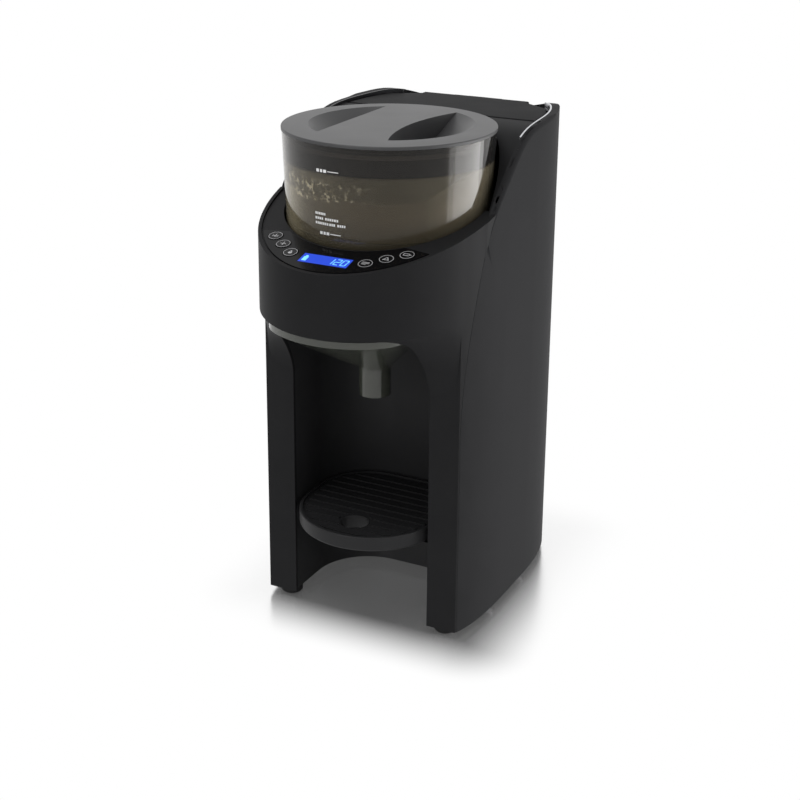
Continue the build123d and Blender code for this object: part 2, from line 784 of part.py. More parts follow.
def gear_plan(teeth, phase, center_y, root_share, tip_share):
    # spur gear outline: root disc with one tapered tooth per pitch
    pitch = gear_module * teeth / 2
    root = pitch - 1.15 * gear_module
    tip = pitch + tooth_height
    step = radians(360 / teeth)
    corners = []
    for number in range(teeth):
        middle = radians(phase) + number * step
        for radius, offset in ((root, -root_share), (tip, -tip_share), (tip, tip_share), (root, root_share)):
            angle = middle + offset * step
            corners.append((radius * cos(angle), center_y + radius * sin(angle)))
    with BuildSketch() as plan:
        with BuildLine():
            Polyline(*corners, close=True)
        make_face()
    return plan.sketch


with BuildPart() as drive_gear:
    with BuildSketch(Plane.XY.offset(gear_bottom_z)):
        add(gear_plan(gear_teeth, 90, hopper_y, 0.34, 0.13))
        with Locations((0, hopper_y)):
            with PolarLocations(pitch_radius * 0.6, 6):
                Circle(5, mode=Mode.SUBTRACT)
    extrude(amount=gear_thickness)
    add(cylinder_between(drive_shaft_radius, gear_bottom_z - 10, seat_floor_z, 0, hopper_y))
    add(cylinder_between(drive_shaft_radius + 2, gear_bottom_z, gear_bottom_z + gear_thickness + 2, 0, hopper_y))
    # six-sided dog that turns the metering wheel
    with BuildSketch(Plane.XY.offset(seat_floor_z)):
        with Locations((0, hopper_y)):
            RegularPolygon(dog_radius, 6)
    extrude(amount=dog_height)
write(drive_gear, "drive_gear")

motor_shaft_radius = 1.5
with BuildPart() as motor_pinion:
    with BuildSketch(Plane.XY.offset(gear_bottom_z - 0.5)):
        add(gear_plan(pinion_teeth, 270 + 180 / pinion_teeth, motor_y, 0.33, 0.11))
    extrude(amount=gear_thickness + 1)
    add(cylinder_between(motor_shaft_radius, plate_z - 6, gear_bottom_z, 0, motor_y))
write(motor_pinion, "motor_pinion")

motor_radius = 14.0
with BuildPart() as drive_motor:
    add(cylinder_between(motor_radius, ceiling_top + fit_gap, plate_z - fit_gap, 0, motor_y))
    fillet(drive_motor.edges().group_by(Axis.Z)[0], 1.5)
    add(cylinder_between(motor_shaft_radius + running_fit, plate_z - 6.5, plate_z, 0, motor_y), mode=Mode.SUBTRACT)
write(drive_motor, "drive_motor")

post_places = ((20.0, hopper_y - 10), (24.0, hopper_y + 31))
bushing_radius = 8.0
with BuildPart() as gear_plate:
    with BuildSketch(Plane.XY.offset(plate_z)):
        with Locations((0, hopper_y + 16)):
            RectangleRounded(58, 72, 6)
        with Locations((0, hopper_y)):
            Circle(bushing_radius + running_fit, mode=Mode.SUBTRACT)
        with Locations((0, motor_y)):
            Circle(3.5, mode=Mode.SUBTRACT)
    extrude(amount=plate_thickness)
    for x, y in post_places:
        for side in (1, -1):
            add(cylinder_between(3.5, ceiling_top, plate_z, side * x, y))
write(gear_plate, "gear_plate")

with BuildPart() as shaft_bushing:
    add(cylinder_between(bushing_radius, plate_z - 3, plate_z + plate_thickness, 0, hopper_y))
    add(cylinder_between(bushing_radius + 2, plate_z + plate_thickness, plate_z + plate_thickness + 1.5, 0, hopper_y))
    add(cylinder_between(drive_shaft_radius + running_fit, 0, top_cut_z, 0, hopper_y), mode=Mode.SUBTRACT)
write(shaft_bushing, "shaft_bushing")

# ---------------------------------------------------------------- powder chute and water nozzle
chute_bottom = ceiling_z - 3.0
with BuildPart() as powder_chute:
    add(cylinder_between(chute_radius, chute_bottom, seat_bottom_z - fit_gap, 0, outlet_y))
    add(cylinder_between(chute_radius + 2.4, ceiling_top + 0.1, ceiling_top + 2.1, 0, outlet_y))
    add(cylinder_between(outlet_radius, 0, top_cut_z, 0, outlet_y), mode=Mode.SUBTRACT)
write(powder_chute, "powder_chute")

nozzle_bottom = head_lip_z + 0.6
nozzle_top = ceiling_top + 2.8
with BuildPart() as water_nozzle:
    add(cylinder_between(nozzle_radius, nozzle_bottom, nozzle_top, nozzle_x, nozzle_y))
    add(cylinder_between(nozzle_radius + 2, ceiling_top + 0.1, ceiling_top + 1.6, nozzle_x, nozzle_y))
    with BuildSketch(Plane.XY.offset(nozzle_bottom)):
        with Locations((nozzle_x, nozzle_y)):
            with PolarLocations(2.6, 5):
                Circle(0.8)
    extrude(amount=4, mode=Mode.SUBTRACT)
write(water_nozzle, "water_nozzle")

# ---------------------------------------------------------------- water path: heater, pump and hoses
nipple_radius = 3.0
hose_radius = 3.5
hose_gap = 0.3
heater_half_width = 40.0
heater_bottom = 95.0
heater_top = 165.0
heater_front = liner_back + liner_wall + 8.0
heater_back = heater_front + 30.0
water_in = (25.0, heater_back - 13.0)
water_out = (36.0, heater_back - 15.0)
nipple_length = 8.0
with BuildPart() as heater:
    with BuildSketch(Plane.XY.offset(heater_bottom)):
        with Locations((0, (heater_front + heater_back) / 2)):
            RectangleRounded(2 * heater_half_width, heater_back - heater_front, 8)
    extrude(amount=heater_top - heater_bottom)
    for z in (heater_bottom + 18, heater_top - 18):
        with Locations((0, heater_front - 3.7, z)):
            Box(30, 8, 10)
    add(cylinder_between(nipple_radius, heater_bottom - nipple_length, heater_bottom, *water_in))
    add(cylinder_between(nipple_radius, heater_top, heater_top + nipple_length, *water_out))
write(heater, "heater")

pump_x = -28.0
pump_y = water_in[1]
pump_radius = 15.0
pump_top = 52.0
pump_outlet_z = 40.0
with BuildPart() as water_pump:
    add(cylinder_between(pump_radius, base_top + 0.1, pump_top, pump_x, pump_y))
    fillet(water_pump.edges().group_by(Axis.Z)[-1], 2)
    add(cylinder_between(pump_radius + 3, base_top + 0.1, base_top + 4, pump_x, pump_y))
    add(cylinder_between(nipple_radius, pump_top, pump_top + nipple_length, pump_x, pump_y))
    with BuildSketch(Plane.YZ.offset(pump_x)):
        with Locations((pump_y, pump_outlet_z)):
            Circle(nipple_radius)
    extrude(amount=pump_radius + nipple_length)
write(water_pump, "water_pump")

socket_bottom = shelf_bottom - 10.0
tank_nipple_bottom = socket_bottom - 4.0
hose_bend = 8.0
inlet_level = heater_bottom - 10.0
outlet_level = plate_z - hose_radius + 0.2


def hose_run(points):
    with BuildPart() as hose:
        with BuildLine():
            FilletPolyline(*points, radius=hose_bend)
        start = Vector(*points[0])
        with BuildSketch(Plane(origin=start, z_dir=Vector(*points[1]) - start)):
            Circle(hose_radius)
        sweep()
    return hose


inlet_hose = hose_run([(0, valve_y, tank_nipple_bottom - hose_gap), (0, valve_y, inlet_level),
                       (pump_x, pump_y, inlet_level), (pump_x, pump_y, pump_top + nipple_length + hose_gap)])
write(inlet_hose, "inlet_hose")
transfer_hose = hose_run([(pump_x + pump_radius + nipple_length + hose_gap, pump_y, pump_outlet_z),
                          (water_in[0], pump_y, pump_outlet_z),
                          (water_in[0], pump_y, heater_bottom - nipple_length - hose_gap)])
write(transfer_hose, "transfer_hose")
outlet_hose = hose_run([(water_out[0], water_out[1], heater_top + nipple_length + hose_gap),
                        (water_out[0], water_out[1], outlet_level),
                        (nozzle_x, nozzle_y, outlet_level),
                        (nozzle_x, nozzle_y, nozzle_top + hose_gap)])
write(outlet_hose, "outlet_hose")

# ---------------------------------------------------------------- water tank on its shelf
socket_radius = 10.0
tube_radius = 7.0
tube_bottom = tank_bottom_z - 8.3
valve_stem_radius = 1.5
valve_stem_bottom = tube_bottom + 1.5
with BuildPart() as tank_shelf:
    add(body_block(side_wall + fit_gap, shelf_bottom, tank_bottom_z - fit_gap, tank_front_y - 3))
    add(cylinder_between(socket_radius, socket_bottom, shelf_bottom, 0, valve_y))
    add(cylinder_between(tube_radius + fit_gap, socket_bottom + 2, tank_bottom_z, 0, valve_y), mode=Mode.SUBTRACT)
    add(cylinder_between(valve_stem_radius, socket_bottom + 2, valve_stem_bottom - fit_gap, 0, valve_y))
    add(cylinder_between(nipple_radius, tank_nipple_bottom, socket_bottom, 0, valve_y))
write(tank_shelf, "tank_shelf")

tank_floor = tank_bottom_z + tank_wall
ledge_front = hinge_y - 4.0
knuckle_radius = 3.0
lid_knuckle_half = 8.0
tank_knuckle_length = 12.0
with BuildPart() as water_tank:
    add(body_block(tank_inset, tank_bottom_z, tank_top_z, tank_front_y))
    add(body_block(tank_inset + tank_wall, tank_floor, tank_top_z, tank_front_y + tank_wall), mode=Mode.SUBTRACT)
    # ledge and knuckles for the hinge of the tank lid
    add(body_block(tank_inset, tank_top_z - 2.4, tank_top_z, ledge_front))
    for side in (1, -1):
        knuckle_x = side * (lid_knuckle_half + fit_gap + tank_knuckle_length / 2)
        with BuildSketch(Plane.YZ.offset(knuckle_x)):
            with Locations((hinge_y, hinge_z)):
                Circle(knuckle_radius)
            with Locations((hinge_y, (hinge_z + tank_top_z) / 2 - 0.5)):
                Rectangle(2 * knuckle_radius, hinge_z - tank_top_z + 1)
            with Locations((hinge_y, hinge_z)):
                Circle(hinge_pin_radius, mode=Mode.SUBTRACT)
        extrude(amount=tank_knuckle_length / 2, both=True)
    add(cylinder_between(tube_radius, tube_bottom, tank_bottom_z, 0, valve_y))
    add(cylinder_between(4.0, 0, tank_floor + 1, 0, valve_y), mode=Mode.SUBTRACT)
write(water_tank, "water_tank")

with BuildPart() as tank_valve:
    add(cylinder_between(6.5, tank_floor + fit_gap, tank_floor + fit_gap + 2, 0, valve_y))
    add(cylinder_between(valve_stem_radius, valve_stem_bottom, tank_floor + fit_gap, 0, valve_y))
write(tank_valve, "tank_valve")

tank_lid_bottom = tank_top_z + fit_gap
tank_lid_thickness = 6.5
tank_lid_inset = 9.5
tank_lid_back = hinge_y - 3.6
tank_lid_rear_half = 46.0     # narrower at the hinge, to swing clear of the side shells
tank_lid_corner = (70.0, hinge_y - 25.0)
with BuildPart() as tank_lid:
    add(body_block(tank_lid_inset, tank_lid_bottom, tank_lid_bottom + tank_lid_thickness,
                   tank_front_y + fit_gap, tank_lid_back))
    with BuildSketch():
        with BuildLine():
            Polyline((tank_lid_corner[0] + 20, 0), (tank_lid_corner[0] + 20, tank_lid_corner[1]), tank_lid_corner,
                     (tank_lid_rear_half, hinge_y - 9), (tank_lid_rear_half, hinge_y + 20),
                     (-tank_lid_rear_half, hinge_y + 20), (-tank_lid_rear_half, hinge_y - 9),
                     (-tank_lid_corner[0], tank_lid_corner[1]), (-tank_lid_corner[0] - 20, tank_lid_corner[1]),
                     (-tank_lid_corner[0] - 20, 0), close=True)
        make_face()
    extrude(amount=top_cut_z, mode=Mode.INTERSECT)
    fillet(tank_lid.faces().sort_by(Axis.Z)[-1].edges(), 1.2)
    # finger notch at the front edge
    with Locations((0, tank_front_y, tank_lid_bottom + tank_lid_thickness)):
        Cylinder(11, 6, mode=Mode.SUBTRACT)
    with BuildSketch(Plane.YZ):
        with Locations((hinge_y, hinge_z)):
            Circle(knuckle_radius)
        with Locations(((hinge_y + tank_lid_back) / 2 - 1, hinge_z)):
            Rectangle(hinge_y - tank_lid_back + 2, 3)
        with Locations((hinge_y, hinge_z)):
            Circle(hinge_pin_radius + running_fit, mode=Mode.SUBTRACT)
    extrude(amount=lid_knuckle_half, both=True)
write(tank_lid, "tank_lid")

with BuildPart() as hinge_pin:
    with BuildSketch(Plane.YZ):
        with Locations((hinge_y, hinge_z)):
            Circle(hinge_pin_radius)
    extrude(amount=lid_knuckle_half + fit_gap + tank_knuckle_length, both=True)
write(hinge_pin, "hinge_pin")

# ---------------------------------------------------------------- funnel
funnel_rim_top = head_lip_z - 0.5
funnel_rim_bottom = funnel_rim_top - funnel_rim_height
funnel_inset = 0.8
funnel_side_front = column_front - 28.0    # where the straight sides of the rim end
funnel_corner_x = 40.0
wing_half_width = bay_half_width - 0.5
wing_bottom = rail_z + rail_height + 0.2
wing_thickness = 1.6
wing_width = 14.0
wing_length = 44.0


def funnel_corners(shrink):
    # right-hand corners of the rim: side, start of the front corner, end of it on the head outline
    half = head_half_width - funnel_inset - shrink
    reach = hopper_y - column_front + head_reach - funnel_inset - shrink
    corner_x = funnel_corner_x - 0.6 * shrink
    corner_y = hopper_y - reach * sqrt(1 - (corner_x / half) ** 2)
    front_y = hopper_y - reach
    return (funnel_half_width - shrink, funnel_side_front), (corner_x, corner_y), (0, front_y)


def funnel_rim_section(shrink, height):
    side, corner, front = funnel_corners(shrink)
    half = side[0]
    with BuildSketch(Plane.XY.offset(height)) as section:
        with BuildLine():
            Line((half, bottle_y), side)
            TangentArc(side, corner, tangent=(0, -1))
            ThreePointArc(corner, front, (-corner[0], corner[1]))
            TangentArc((-half, side[1]), (-corner[0], corner[1]), tangent=(0, -1))
            Line((-half, side[1]), (-half, bottle_y))
            ThreePointArc((-half, bottle_y), (0, bottle_y + half), (half, bottle_y))
        make_face()
    return section.sketch


def funnel_neck_section(shrink, height):
    # circle split at the same bearings as the corners of the rim
    side, corner, front = funnel_corners(shrink)
    radius = spout_radius - shrink
    bearings = [0, degrees(atan2(side[1] - bottle_y, side[0])), degrees(atan2(corner[1] - bottle_y, corner[0]))]
    bearings += [-180 - bearings[2], -180 - bearings[1], -180, -360]
    with BuildSketch(Plane.XY.offset(height)) as section:
        with BuildLine():
            for first, last in zip(bearings, bearings[1:]):
                on_circle = [(radius * cos(radians(angle)), bottle_y + radius * sin(radians(angle)))
                             for angle in (first, (first + last) / 2, last)]
                ThreePointArc(*on_circle)
        make_face()
    return section.sketch


def funnel_form(shrink, top, neck_z, bottom):
    with BuildPart() as form:
        loft(sections=[funnel_neck_section(shrink, neck_z), funnel_rim_section(shrink, funnel_rim_bottom)],
             ruled=True)
        extrude(funnel_rim_section(shrink, funnel_rim_bottom), amount=top - funnel_rim_bottom)
        add(cylinder_between(spout_radius - shrink, bottom, neck_z, 0, bottle_y))
    return form.part


with BuildPart() as funnel:
    add(funnel_form(0, funnel_rim_top, funnel_neck_z, spout_bottom_z))
    # wings that slide on the rails of the bay
    for side in (1, -1):
        with Locations((side * (wing_half_width - wing_width / 2), bottle_y + 2,
                        wing_bottom + wing_thickness / 2)):
            Box(wing_width, wing_length, wing_thickness)
    add(funnel_form(funnel_wall, top_cut_z, funnel_neck_z + 0.6, 0), mode=Mode.SUBTRACT)
    # the rim drops at the corners, so that the funnel draws out through the arch
    with BuildSketch(Plane.XZ.offset(-hopper_y - 100)) as passage:
        with Locations((0, funnel_rim_top / 2)):
            Rectangle(2 * (bay_half_width - fit_gap), funnel_rim_top)
        fillet(passage.vertices().group_by(Axis.Y)[-1], bay_corner_radius - fit_gap)
    extrude(amount=300, mode=Mode.INTERSECT)
write(funnel, "funnel")

# ---------------------------------------------------------------- bottle tray
tray_back = liner_back - tray_clearance
tray_corner_radius = alcove_corner_radius - tray_clearance
tray_rim = 2.5
tray_recess = 1.6
tray_rib_height = 1.0
tray_bottom_z = tray_top_z - tray_thickness
drain_radius = 11.0
drain_y = column_front - 9.0
tongue_width = slot_width - 2.0
tongue_thickness = slot_height - 0.6


def tray_plan(inset, height):
    with BuildSketch(Plane.XY.offset(height)) as plan:
        with Locations((0, tray_center_y)):
            Circle(tray_radius - inset)
        add(alcove_plan(tray_radius - inset, tray_back - inset, tray_corner_radius - inset, tray_center_y))
    return plan.sketch


with BuildPart() as bottle_tray:
    extrude(tray_plan(0, tray_bottom_z), amount=tray_thickness)
    fillet(bottle_tray.edges().group_by(Axis.Z)[0], 2.0)
    fillet(bottle_tray.edges().group_by(Axis.Z)[-1], 1.0)
    extrude(tray_plan(tray_rim, tray_top_z - tray_recess), amount=tray_recess + 1, mode=Mode.SUBTRACT)
    # standing ribs across the recess, round a drain hole
    with BuildSketch(Plane.XY.offset(tray_top_z - tray_recess)):
        with Locations((0, tray_center_y)):
            with GridLocations(1, 9.6, 1, 11):
                Rectangle(2 * tray_radius, 2.4)
        add(tray_plan(tray_rim + 2.5, 0), mode=Mode.INTERSECT)
        with Locations((0, drain_y)):
            Circle(drain_radius + 2, mode=Mode.SUBTRACT)
    extrude(amount=tray_rib_height)
    add(cylinder_between(drain_radius, 0, top_cut_z, 0, drain_y), mode=Mode.SUBTRACT)
    # tongues that hang in a pair of slots of the back wall
    for side in (1, -1):
        with Locations((side * slot_half_spacing, liner_back - 8, tray_bottom_z - 0.3 - tongue_thickness / 2)):
            Box(tongue_width, 24, tongue_thickness)
        with Locations((side * slot_half_spacing, tray_back - 9, tray_bottom_z - 1)):
            Box(tongue_width, 12, 4)
write(bottle_tray, "bottle_tray")

# ---------------------------------------------------------------- main board
board_y = heater_back + 25.0
with BuildPart() as main_board:
    with Locations((0, board_y, base_top + 0.1 + 35)):
        Box(100, 1.6, 70)
    for x, z, width, height, depth in ((-30, 30, 22, 18, 16), (4, 24, 14, 14, 11), (30, 34, 18, 26, 9),
                                       (-28, 58, 20, 12, 7), (14, 60, 26, 8, 4)):
        with Locations((x, board_y + 0.8 + depth / 2, z)):
            Box(width, depth, height)
write(main_board, "main_board")
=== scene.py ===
import json
import math
import random
import bmesh
import bpy
from mathutils import Matrix, Vector


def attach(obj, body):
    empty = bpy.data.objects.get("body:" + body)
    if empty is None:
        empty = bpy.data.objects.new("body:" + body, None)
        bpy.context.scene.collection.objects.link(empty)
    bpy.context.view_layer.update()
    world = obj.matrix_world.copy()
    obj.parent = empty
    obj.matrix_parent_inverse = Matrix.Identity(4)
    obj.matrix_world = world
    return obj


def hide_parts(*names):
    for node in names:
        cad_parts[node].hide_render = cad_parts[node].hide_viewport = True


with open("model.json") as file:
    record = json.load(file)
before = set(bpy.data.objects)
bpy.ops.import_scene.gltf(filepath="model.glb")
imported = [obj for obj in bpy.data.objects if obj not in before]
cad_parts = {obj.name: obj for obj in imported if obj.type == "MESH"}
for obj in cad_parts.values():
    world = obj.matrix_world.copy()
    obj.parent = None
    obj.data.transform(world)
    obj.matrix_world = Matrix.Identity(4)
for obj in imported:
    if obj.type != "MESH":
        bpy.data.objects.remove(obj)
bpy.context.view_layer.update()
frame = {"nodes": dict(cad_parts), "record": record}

mm = 0.001
nodes = frame["nodes"]
print("stage: frame loaded,", len(nodes), "nodes")


screenCurve = {"straightUpTo": 10, "slope": 12.92, "offset": 0.055, "power": 2.4}


def toLinear(level):  # one screen level 0-255 to the renderer's linear value
    share = level / 255
    if level <= screenCurve["straightUpTo"]:
        return share / screenCurve["slope"]
    return ((share + screenCurve["offset"]) / (1 + screenCurve["offset"])) ** screenCurve["power"]


def tone(red, green, blue):
    return (toLinear(red), toLinear(green), toLinear(blue), 1.0)


def grey(share):
    return (share, share, share, 1.0)


def addNode(tree, kind, inputs=None, **settings):
    node = tree.nodes.new(kind)
    for key, value in settings.items():
        setattr(node, key, value)
    for key, value in (inputs or {}).items():
        node.inputs[key].default_value = value
    return node


def combine(tree, operation, first, second):  # maths on two sockets, or on a socket and a number
    node = addNode(tree, "ShaderNodeMath", operation=operation)
    tree.links.new(first, node.inputs[0])
    if isinstance(second, float):
        node.inputs[1].default_value = second
    else:
        tree.links.new(second, node.inputs[1])
    return node.outputs[0]


def easedFade(tree, value, limits):  # 0 at the first limit, 1 at the second, eased at both ends
    fade = addNode(tree, "ShaderNodeMapRange", {"From Min": limits[0], "From Max": limits[1]},
                   interpolation_type="SMOOTHSTEP")
    tree.links.new(value, fade.inputs["Value"])
    return fade.outputs["Result"]


# shared by every finish: the cloud varies colour and gloss, the grain is the fine bump
moulding = {"cloudScale": 38.0, "cloudDetail": 4.0, "glossSwing": 0.04, "leastRough": 0.02, "coatRough": 0.06,
            "grainDetail": 2.0, "grainDepth": 0.0004}


def moulded(name, colour, rough=0.4, mottle=0.12, grain=0.04, grainScale=1400.0, coat=0.0, metal=0.0,
            specular=0.5, glow=None):
    # moulded or metal finish: fine grain in the bump, slight unevenness in colour and gloss
    material = bpy.data.materials.new(name)
    material.use_nodes = True
    tree = material.node_tree
    shader = tree.nodes["Principled BSDF"]
    shader.inputs["Metallic"].default_value = metal
    shader.inputs["Coat Weight"].default_value = coat
    shader.inputs["Coat Roughness"].default_value = moulding["coatRough"]
    shader.inputs["Specular IOR Level"].default_value = specular
    if glow:
        shader.inputs["Emission Color"].default_value = glow[0]
        shader.inputs["Emission Strength"].default_value = glow[1]
    place = addNode(tree, "ShaderNodeTexCoord")
    cloud = addNode(tree, "ShaderNodeTexNoise",
                    {"Scale": moulding["cloudScale"], "Detail": moulding["cloudDetail"]})
    tree.links.new(place.outputs["Object"], cloud.inputs["Vector"])
    low = tuple(c * (1 - mottle) for c in colour[:3]) + (1.0,)
    high = tuple(min(1.0, c * (1 + mottle)) for c in colour[:3]) + (1.0,)
    blendColour = addNode(tree, "ShaderNodeMix", data_type="RGBA")
    blendColour.inputs["A"].default_value = low
    blendColour.inputs["B"].default_value = high
    tree.links.new(cloud.outputs["Fac"], blendColour.inputs["Factor"])
    tree.links.new(blendColour.outputs["Result"], shader.inputs["Base Color"])
    swing = moulding["glossSwing"]
    gloss = addNode(tree, "ShaderNodeMapRange",
                    {"To Min": max(moulding["leastRough"], rough - swing), "To Max": rough + swing})
    tree.links.new(cloud.outputs["Fac"], gloss.inputs["Value"])
    tree.links.new(gloss.outputs["Result"], shader.inputs["Roughness"])
    fine = addNode(tree, "ShaderNodeTexNoise", {"Scale": grainScale, "Detail": moulding["grainDetail"]})
    tree.links.new(place.outputs["Object"], fine.inputs["Vector"])
    bump = addNode(tree, "ShaderNodeBump", {"Strength": grain, "Distance": moulding["grainDepth"]})
    tree.links.new(fine.outputs["Fac"], bump.inputs["Height"])
    tree.links.new(bump.outputs["Normal"], shader.inputs["Normal"])
    return material


clearWall = {"mottle": 0.06, "edgeBlend": 0.4}


def smoky(name, colour, tint, faceOn, edgeOn, rough=0.08, coat=0.3, specular=0.4, dust=None):
    # see-through moulding: clearer face on, denser and shinier towards its edges
    material = moulded(name, colour, rough=rough, mottle=clearWall["mottle"], grain=0.0, coat=coat,
                       specular=specular)
    tree = material.node_tree
    shader = tree.nodes["Principled BSDF"]
    output = tree.nodes["Material Output"]
    clear = addNode(tree, "ShaderNodeBsdfTransparent", {"Color": tint})
    turned = addNode(tree, "ShaderNodeLayerWeight", {"Blend": clearWall["edgeBlend"]})
    density = addNode(tree, "ShaderNodeMapRange", {"To Min": faceOn, "To Max": edgeOn})
    tree.links.new(turned.outputs["Facing"], density.inputs["Value"])
    solidShare = density.outputs["Result"]
    if dust:
        solidShare = addDust(tree, shader, solidShare, dust)
    mixed = addNode(tree, "ShaderNodeMixShader")
    tree.links.new(solidShare, mixed.inputs["Fac"])
    tree.links.new(clear.outputs["BSDF"], mixed.inputs[1])
    tree.links.new(shader.outputs["BSDF"], mixed.inputs[2])
    tree.links.new(mixed.outputs["Shader"], output.inputs["Surface"])
    return material


def powderWithPaintedLight(name, tones):
    # dry powder with painted light: drawn paler towards the wall on either side, standing in for the light
    # that falls there
    material = moulded(name, tones["middle"], **tones["surface"])
    tree = material.node_tree
    shader = tree.nodes["Principled BSDF"]
    place = addNode(tree, "ShaderNodeTexCoord")
    axes = addNode(tree, "ShaderNodeSeparateXYZ")
    tree.links.new(place.outputs["Object"], axes.inputs[0])
    colour = shader.inputs["Base Color"].links[0].from_socket
    for side in ("left", "right"):
        paintedLight = addNode(tree, "ShaderNodeMix", data_type="RGBA")
        paintedLight.inputs["B"].default_value = tones[side]
        fade = easedFade(tree, axes.outputs["X"], tones[side + "Fade"])
        tree.links.new(fade, paintedLight.inputs["Factor"])
        tree.links.new(colour, paintedLight.inputs["A"])
        colour = paintedLight.outputs["Result"]
    tree.links.new(colour, shader.inputs["Base Color"])
    return material


def addDust(tree, shader, solidShare, dust):
    # powder clinging to the wall: a thin film below the collar, a denser film low on the left that is partly
    # banked powder and partly painted light reflected there, and specks that thin out upwards and to the
    # right
    place = addNode(tree, "ShaderNodeTexCoord")
    axes = addNode(tree, "ShaderNodeSeparateXYZ")
    specks = addNode(tree, "ShaderNodeTexNoise",
                     {"Scale": dust["scale"], "Detail": dust["detail"], "Roughness": dust["breakup"]})
    tree.links.new(place.outputs["Object"], axes.inputs[0])
    tree.links.new(place.outputs["Object"], specks.inputs["Vector"])
    sharp = addNode(tree, "ShaderNodeMapRange", {"From Min": dust["gaps"][0], "From Max": dust["gaps"][1]})
    tree.links.new(specks.outputs["Fac"], sharp.inputs["Value"])
    cover = sharp.outputs["Result"]
    for axis, limits in (("Z", dust["rise"]), ("Z", dust["fall"]), ("X", dust["side"])):
        cover = combine(tree, "MULTIPLY", cover, easedFade(tree, axes.outputs[axis], limits))
    belowCollar = combine(tree, "LESS_THAN", axes.outputs["Z"], dust["filmTop"])
    cover = combine(tree, "MAXIMUM", cover, combine(tree, "MULTIPLY", belowCollar, dust["film"]))
    # painted light, partly real: the denser film low on the left stands for banked powder and for light
    # reflected there
    leftDustAndLightHeight = easedFade(tree, axes.outputs["Z"], dust["leftDustAndLightTop"])
    leftDustAndLightWidth = easedFade(tree, axes.outputs["X"], dust["leftDustAndLightSide"])
    leftDustAndLight = combine(tree, "MULTIPLY", leftDustAndLightWidth, combine(tree, "MULTIPLY", leftDustAndLightHeight, dust["leftDustAndLightShare"]))
    cover = combine(tree, "MAXIMUM", cover, leftDustAndLight)
    most = combine(tree, "MAXIMUM", solidShare, combine(tree, "MULTIPLY", cover, dust["amount"]))
    dusty = addNode(tree, "ShaderNodeMix", data_type="RGBA")
    dusty.inputs["B"].default_value = dust["colour"]
    tree.links.new(cover, dusty.inputs["Factor"])
    tree.links.new(shader.inputs["Base Color"].links[0].from_socket, dusty.inputs["A"])
    tree.links.new(dusty.outputs["Result"], shader.inputs["Base Color"])
    return most


def finish(obj, material):
    obj.data.materials.clear()
    obj.data.materials.append(material)


def newTree(name, sizes):
    # geometry tree with one named input for each size
    tree = bpy.data.node_groups.new(name, "GeometryNodeTree")
    kinds = {int: "NodeSocketInt", float: "NodeSocketFloat", tuple: "NodeSocketVector"}
    tree.interface.new_socket("Geometry", in_out="INPUT", socket_type="NodeSocketGeometry")
    for label, value in sizes.items():
        tree.interface.new_socket(label, in_out="INPUT", socket_type=kinds[type(value)]).default_value = value
    tree.interface.new_socket("Geometry", in_out="OUTPUT", socket_type="NodeSocketGeometry")
    return tree, addNode(tree, "NodeGroupInput"), addNode(tree, "NodeGroupOutput")


def closeTree(tree, geometry, output, material):
    realised = addNode(tree, "GeometryNodeRealizeInstances")
    painted = addNode(tree, "GeometryNodeSetMaterial", {"Material": material})
    tree.links.new(geometry, realised.inputs["Geometry"])
    tree.links.new(realised.outputs["Geometry"], painted.inputs["Geometry"])
    tree.links.new(painted.outputs["Geometry"], output.inputs["Geometry"])


def grow(name, tree, sizes, body):
    # sizes go in by socket identifier, then the result becomes a plain mesh
    obj = bpy.data.objects.new(name, bpy.data.meshes.new(name))
    bpy.context.scene.collection.objects.link(obj)
    modifier = obj.modifiers.new("growth", "NODES")
    modifier.node_group = tree
    for item in tree.interface.items_tree:
        if item.in_out == "INPUT" and item.name in sizes:
            modifier[item.identifier] = sizes[item.name]
    grown = bpy.data.meshes.new_from_object(obj.evaluated_get(bpy.context.evaluated_depsgraph_get()))
    obj.modifiers.remove(modifier)
    obj.data = grown
    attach(obj, body)


def newPiece(name, mesh, body, material, smooth=True):
    obj = bpy.data.objects.new(name, mesh)
    bpy.context.scene.collection.objects.link(obj)
    finish(obj, material)
    if smooth:
        mesh.shade_smooth()
    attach(obj, body)


def meshFrom(name, points, faces):
    mesh = bpy.data.meshes.new(name)
    mesh.from_pydata([tuple(p) for p in points], [], faces)
    mesh.update()
    return mesh


# distances in metres, angles in degrees
meshCare = {"samePoint": 1e-6, "cadSamePoint": 2e-6, "shortest": 1e-6, "sharpAngle": 28.0, "flatAngle": 0.6}


def outward(mesh):
    work = bmesh.new()
    work.from_mesh(mesh)
    bmesh.ops.remove_doubles(work, verts=work.verts, dist=meshCare["samePoint"])
    bmesh.ops.recalc_face_normals(work, faces=work.faces)
    work.to_mesh(mesh)
    work.free()


# the body that carries each node
bodyOf = {node: body for body, group in frame["record"]["behaviour"]["bodies"].items() for node in group}

# rounding of a side shell's outer top line, in millimetres: none at the lowest height, full from the next
shellEdge = {"round": 3.2, "outerX": 86.5, "lowest": 298.0, "full": 345.0, "segments": 6}


def markOuterEdges(work):
    # bevel weight on the sharp edges that run along a shell's outer top line
    weight = work.edges.layers.float.new("bevel_weight_edge")
    rise = shellEdge["full"] - shellEdge["lowest"]
    for edge in work.edges:
        ends = [vertex.co for vertex in edge.verts]
        share = (min(co.z for co in ends) / mm - shellEdge["lowest"]) / rise
        if not edge.smooth and share > 0 and all(abs(co.x) > shellEdge["outerX"] * mm for co in ends):
            edge[weight] = min(1.0, share)


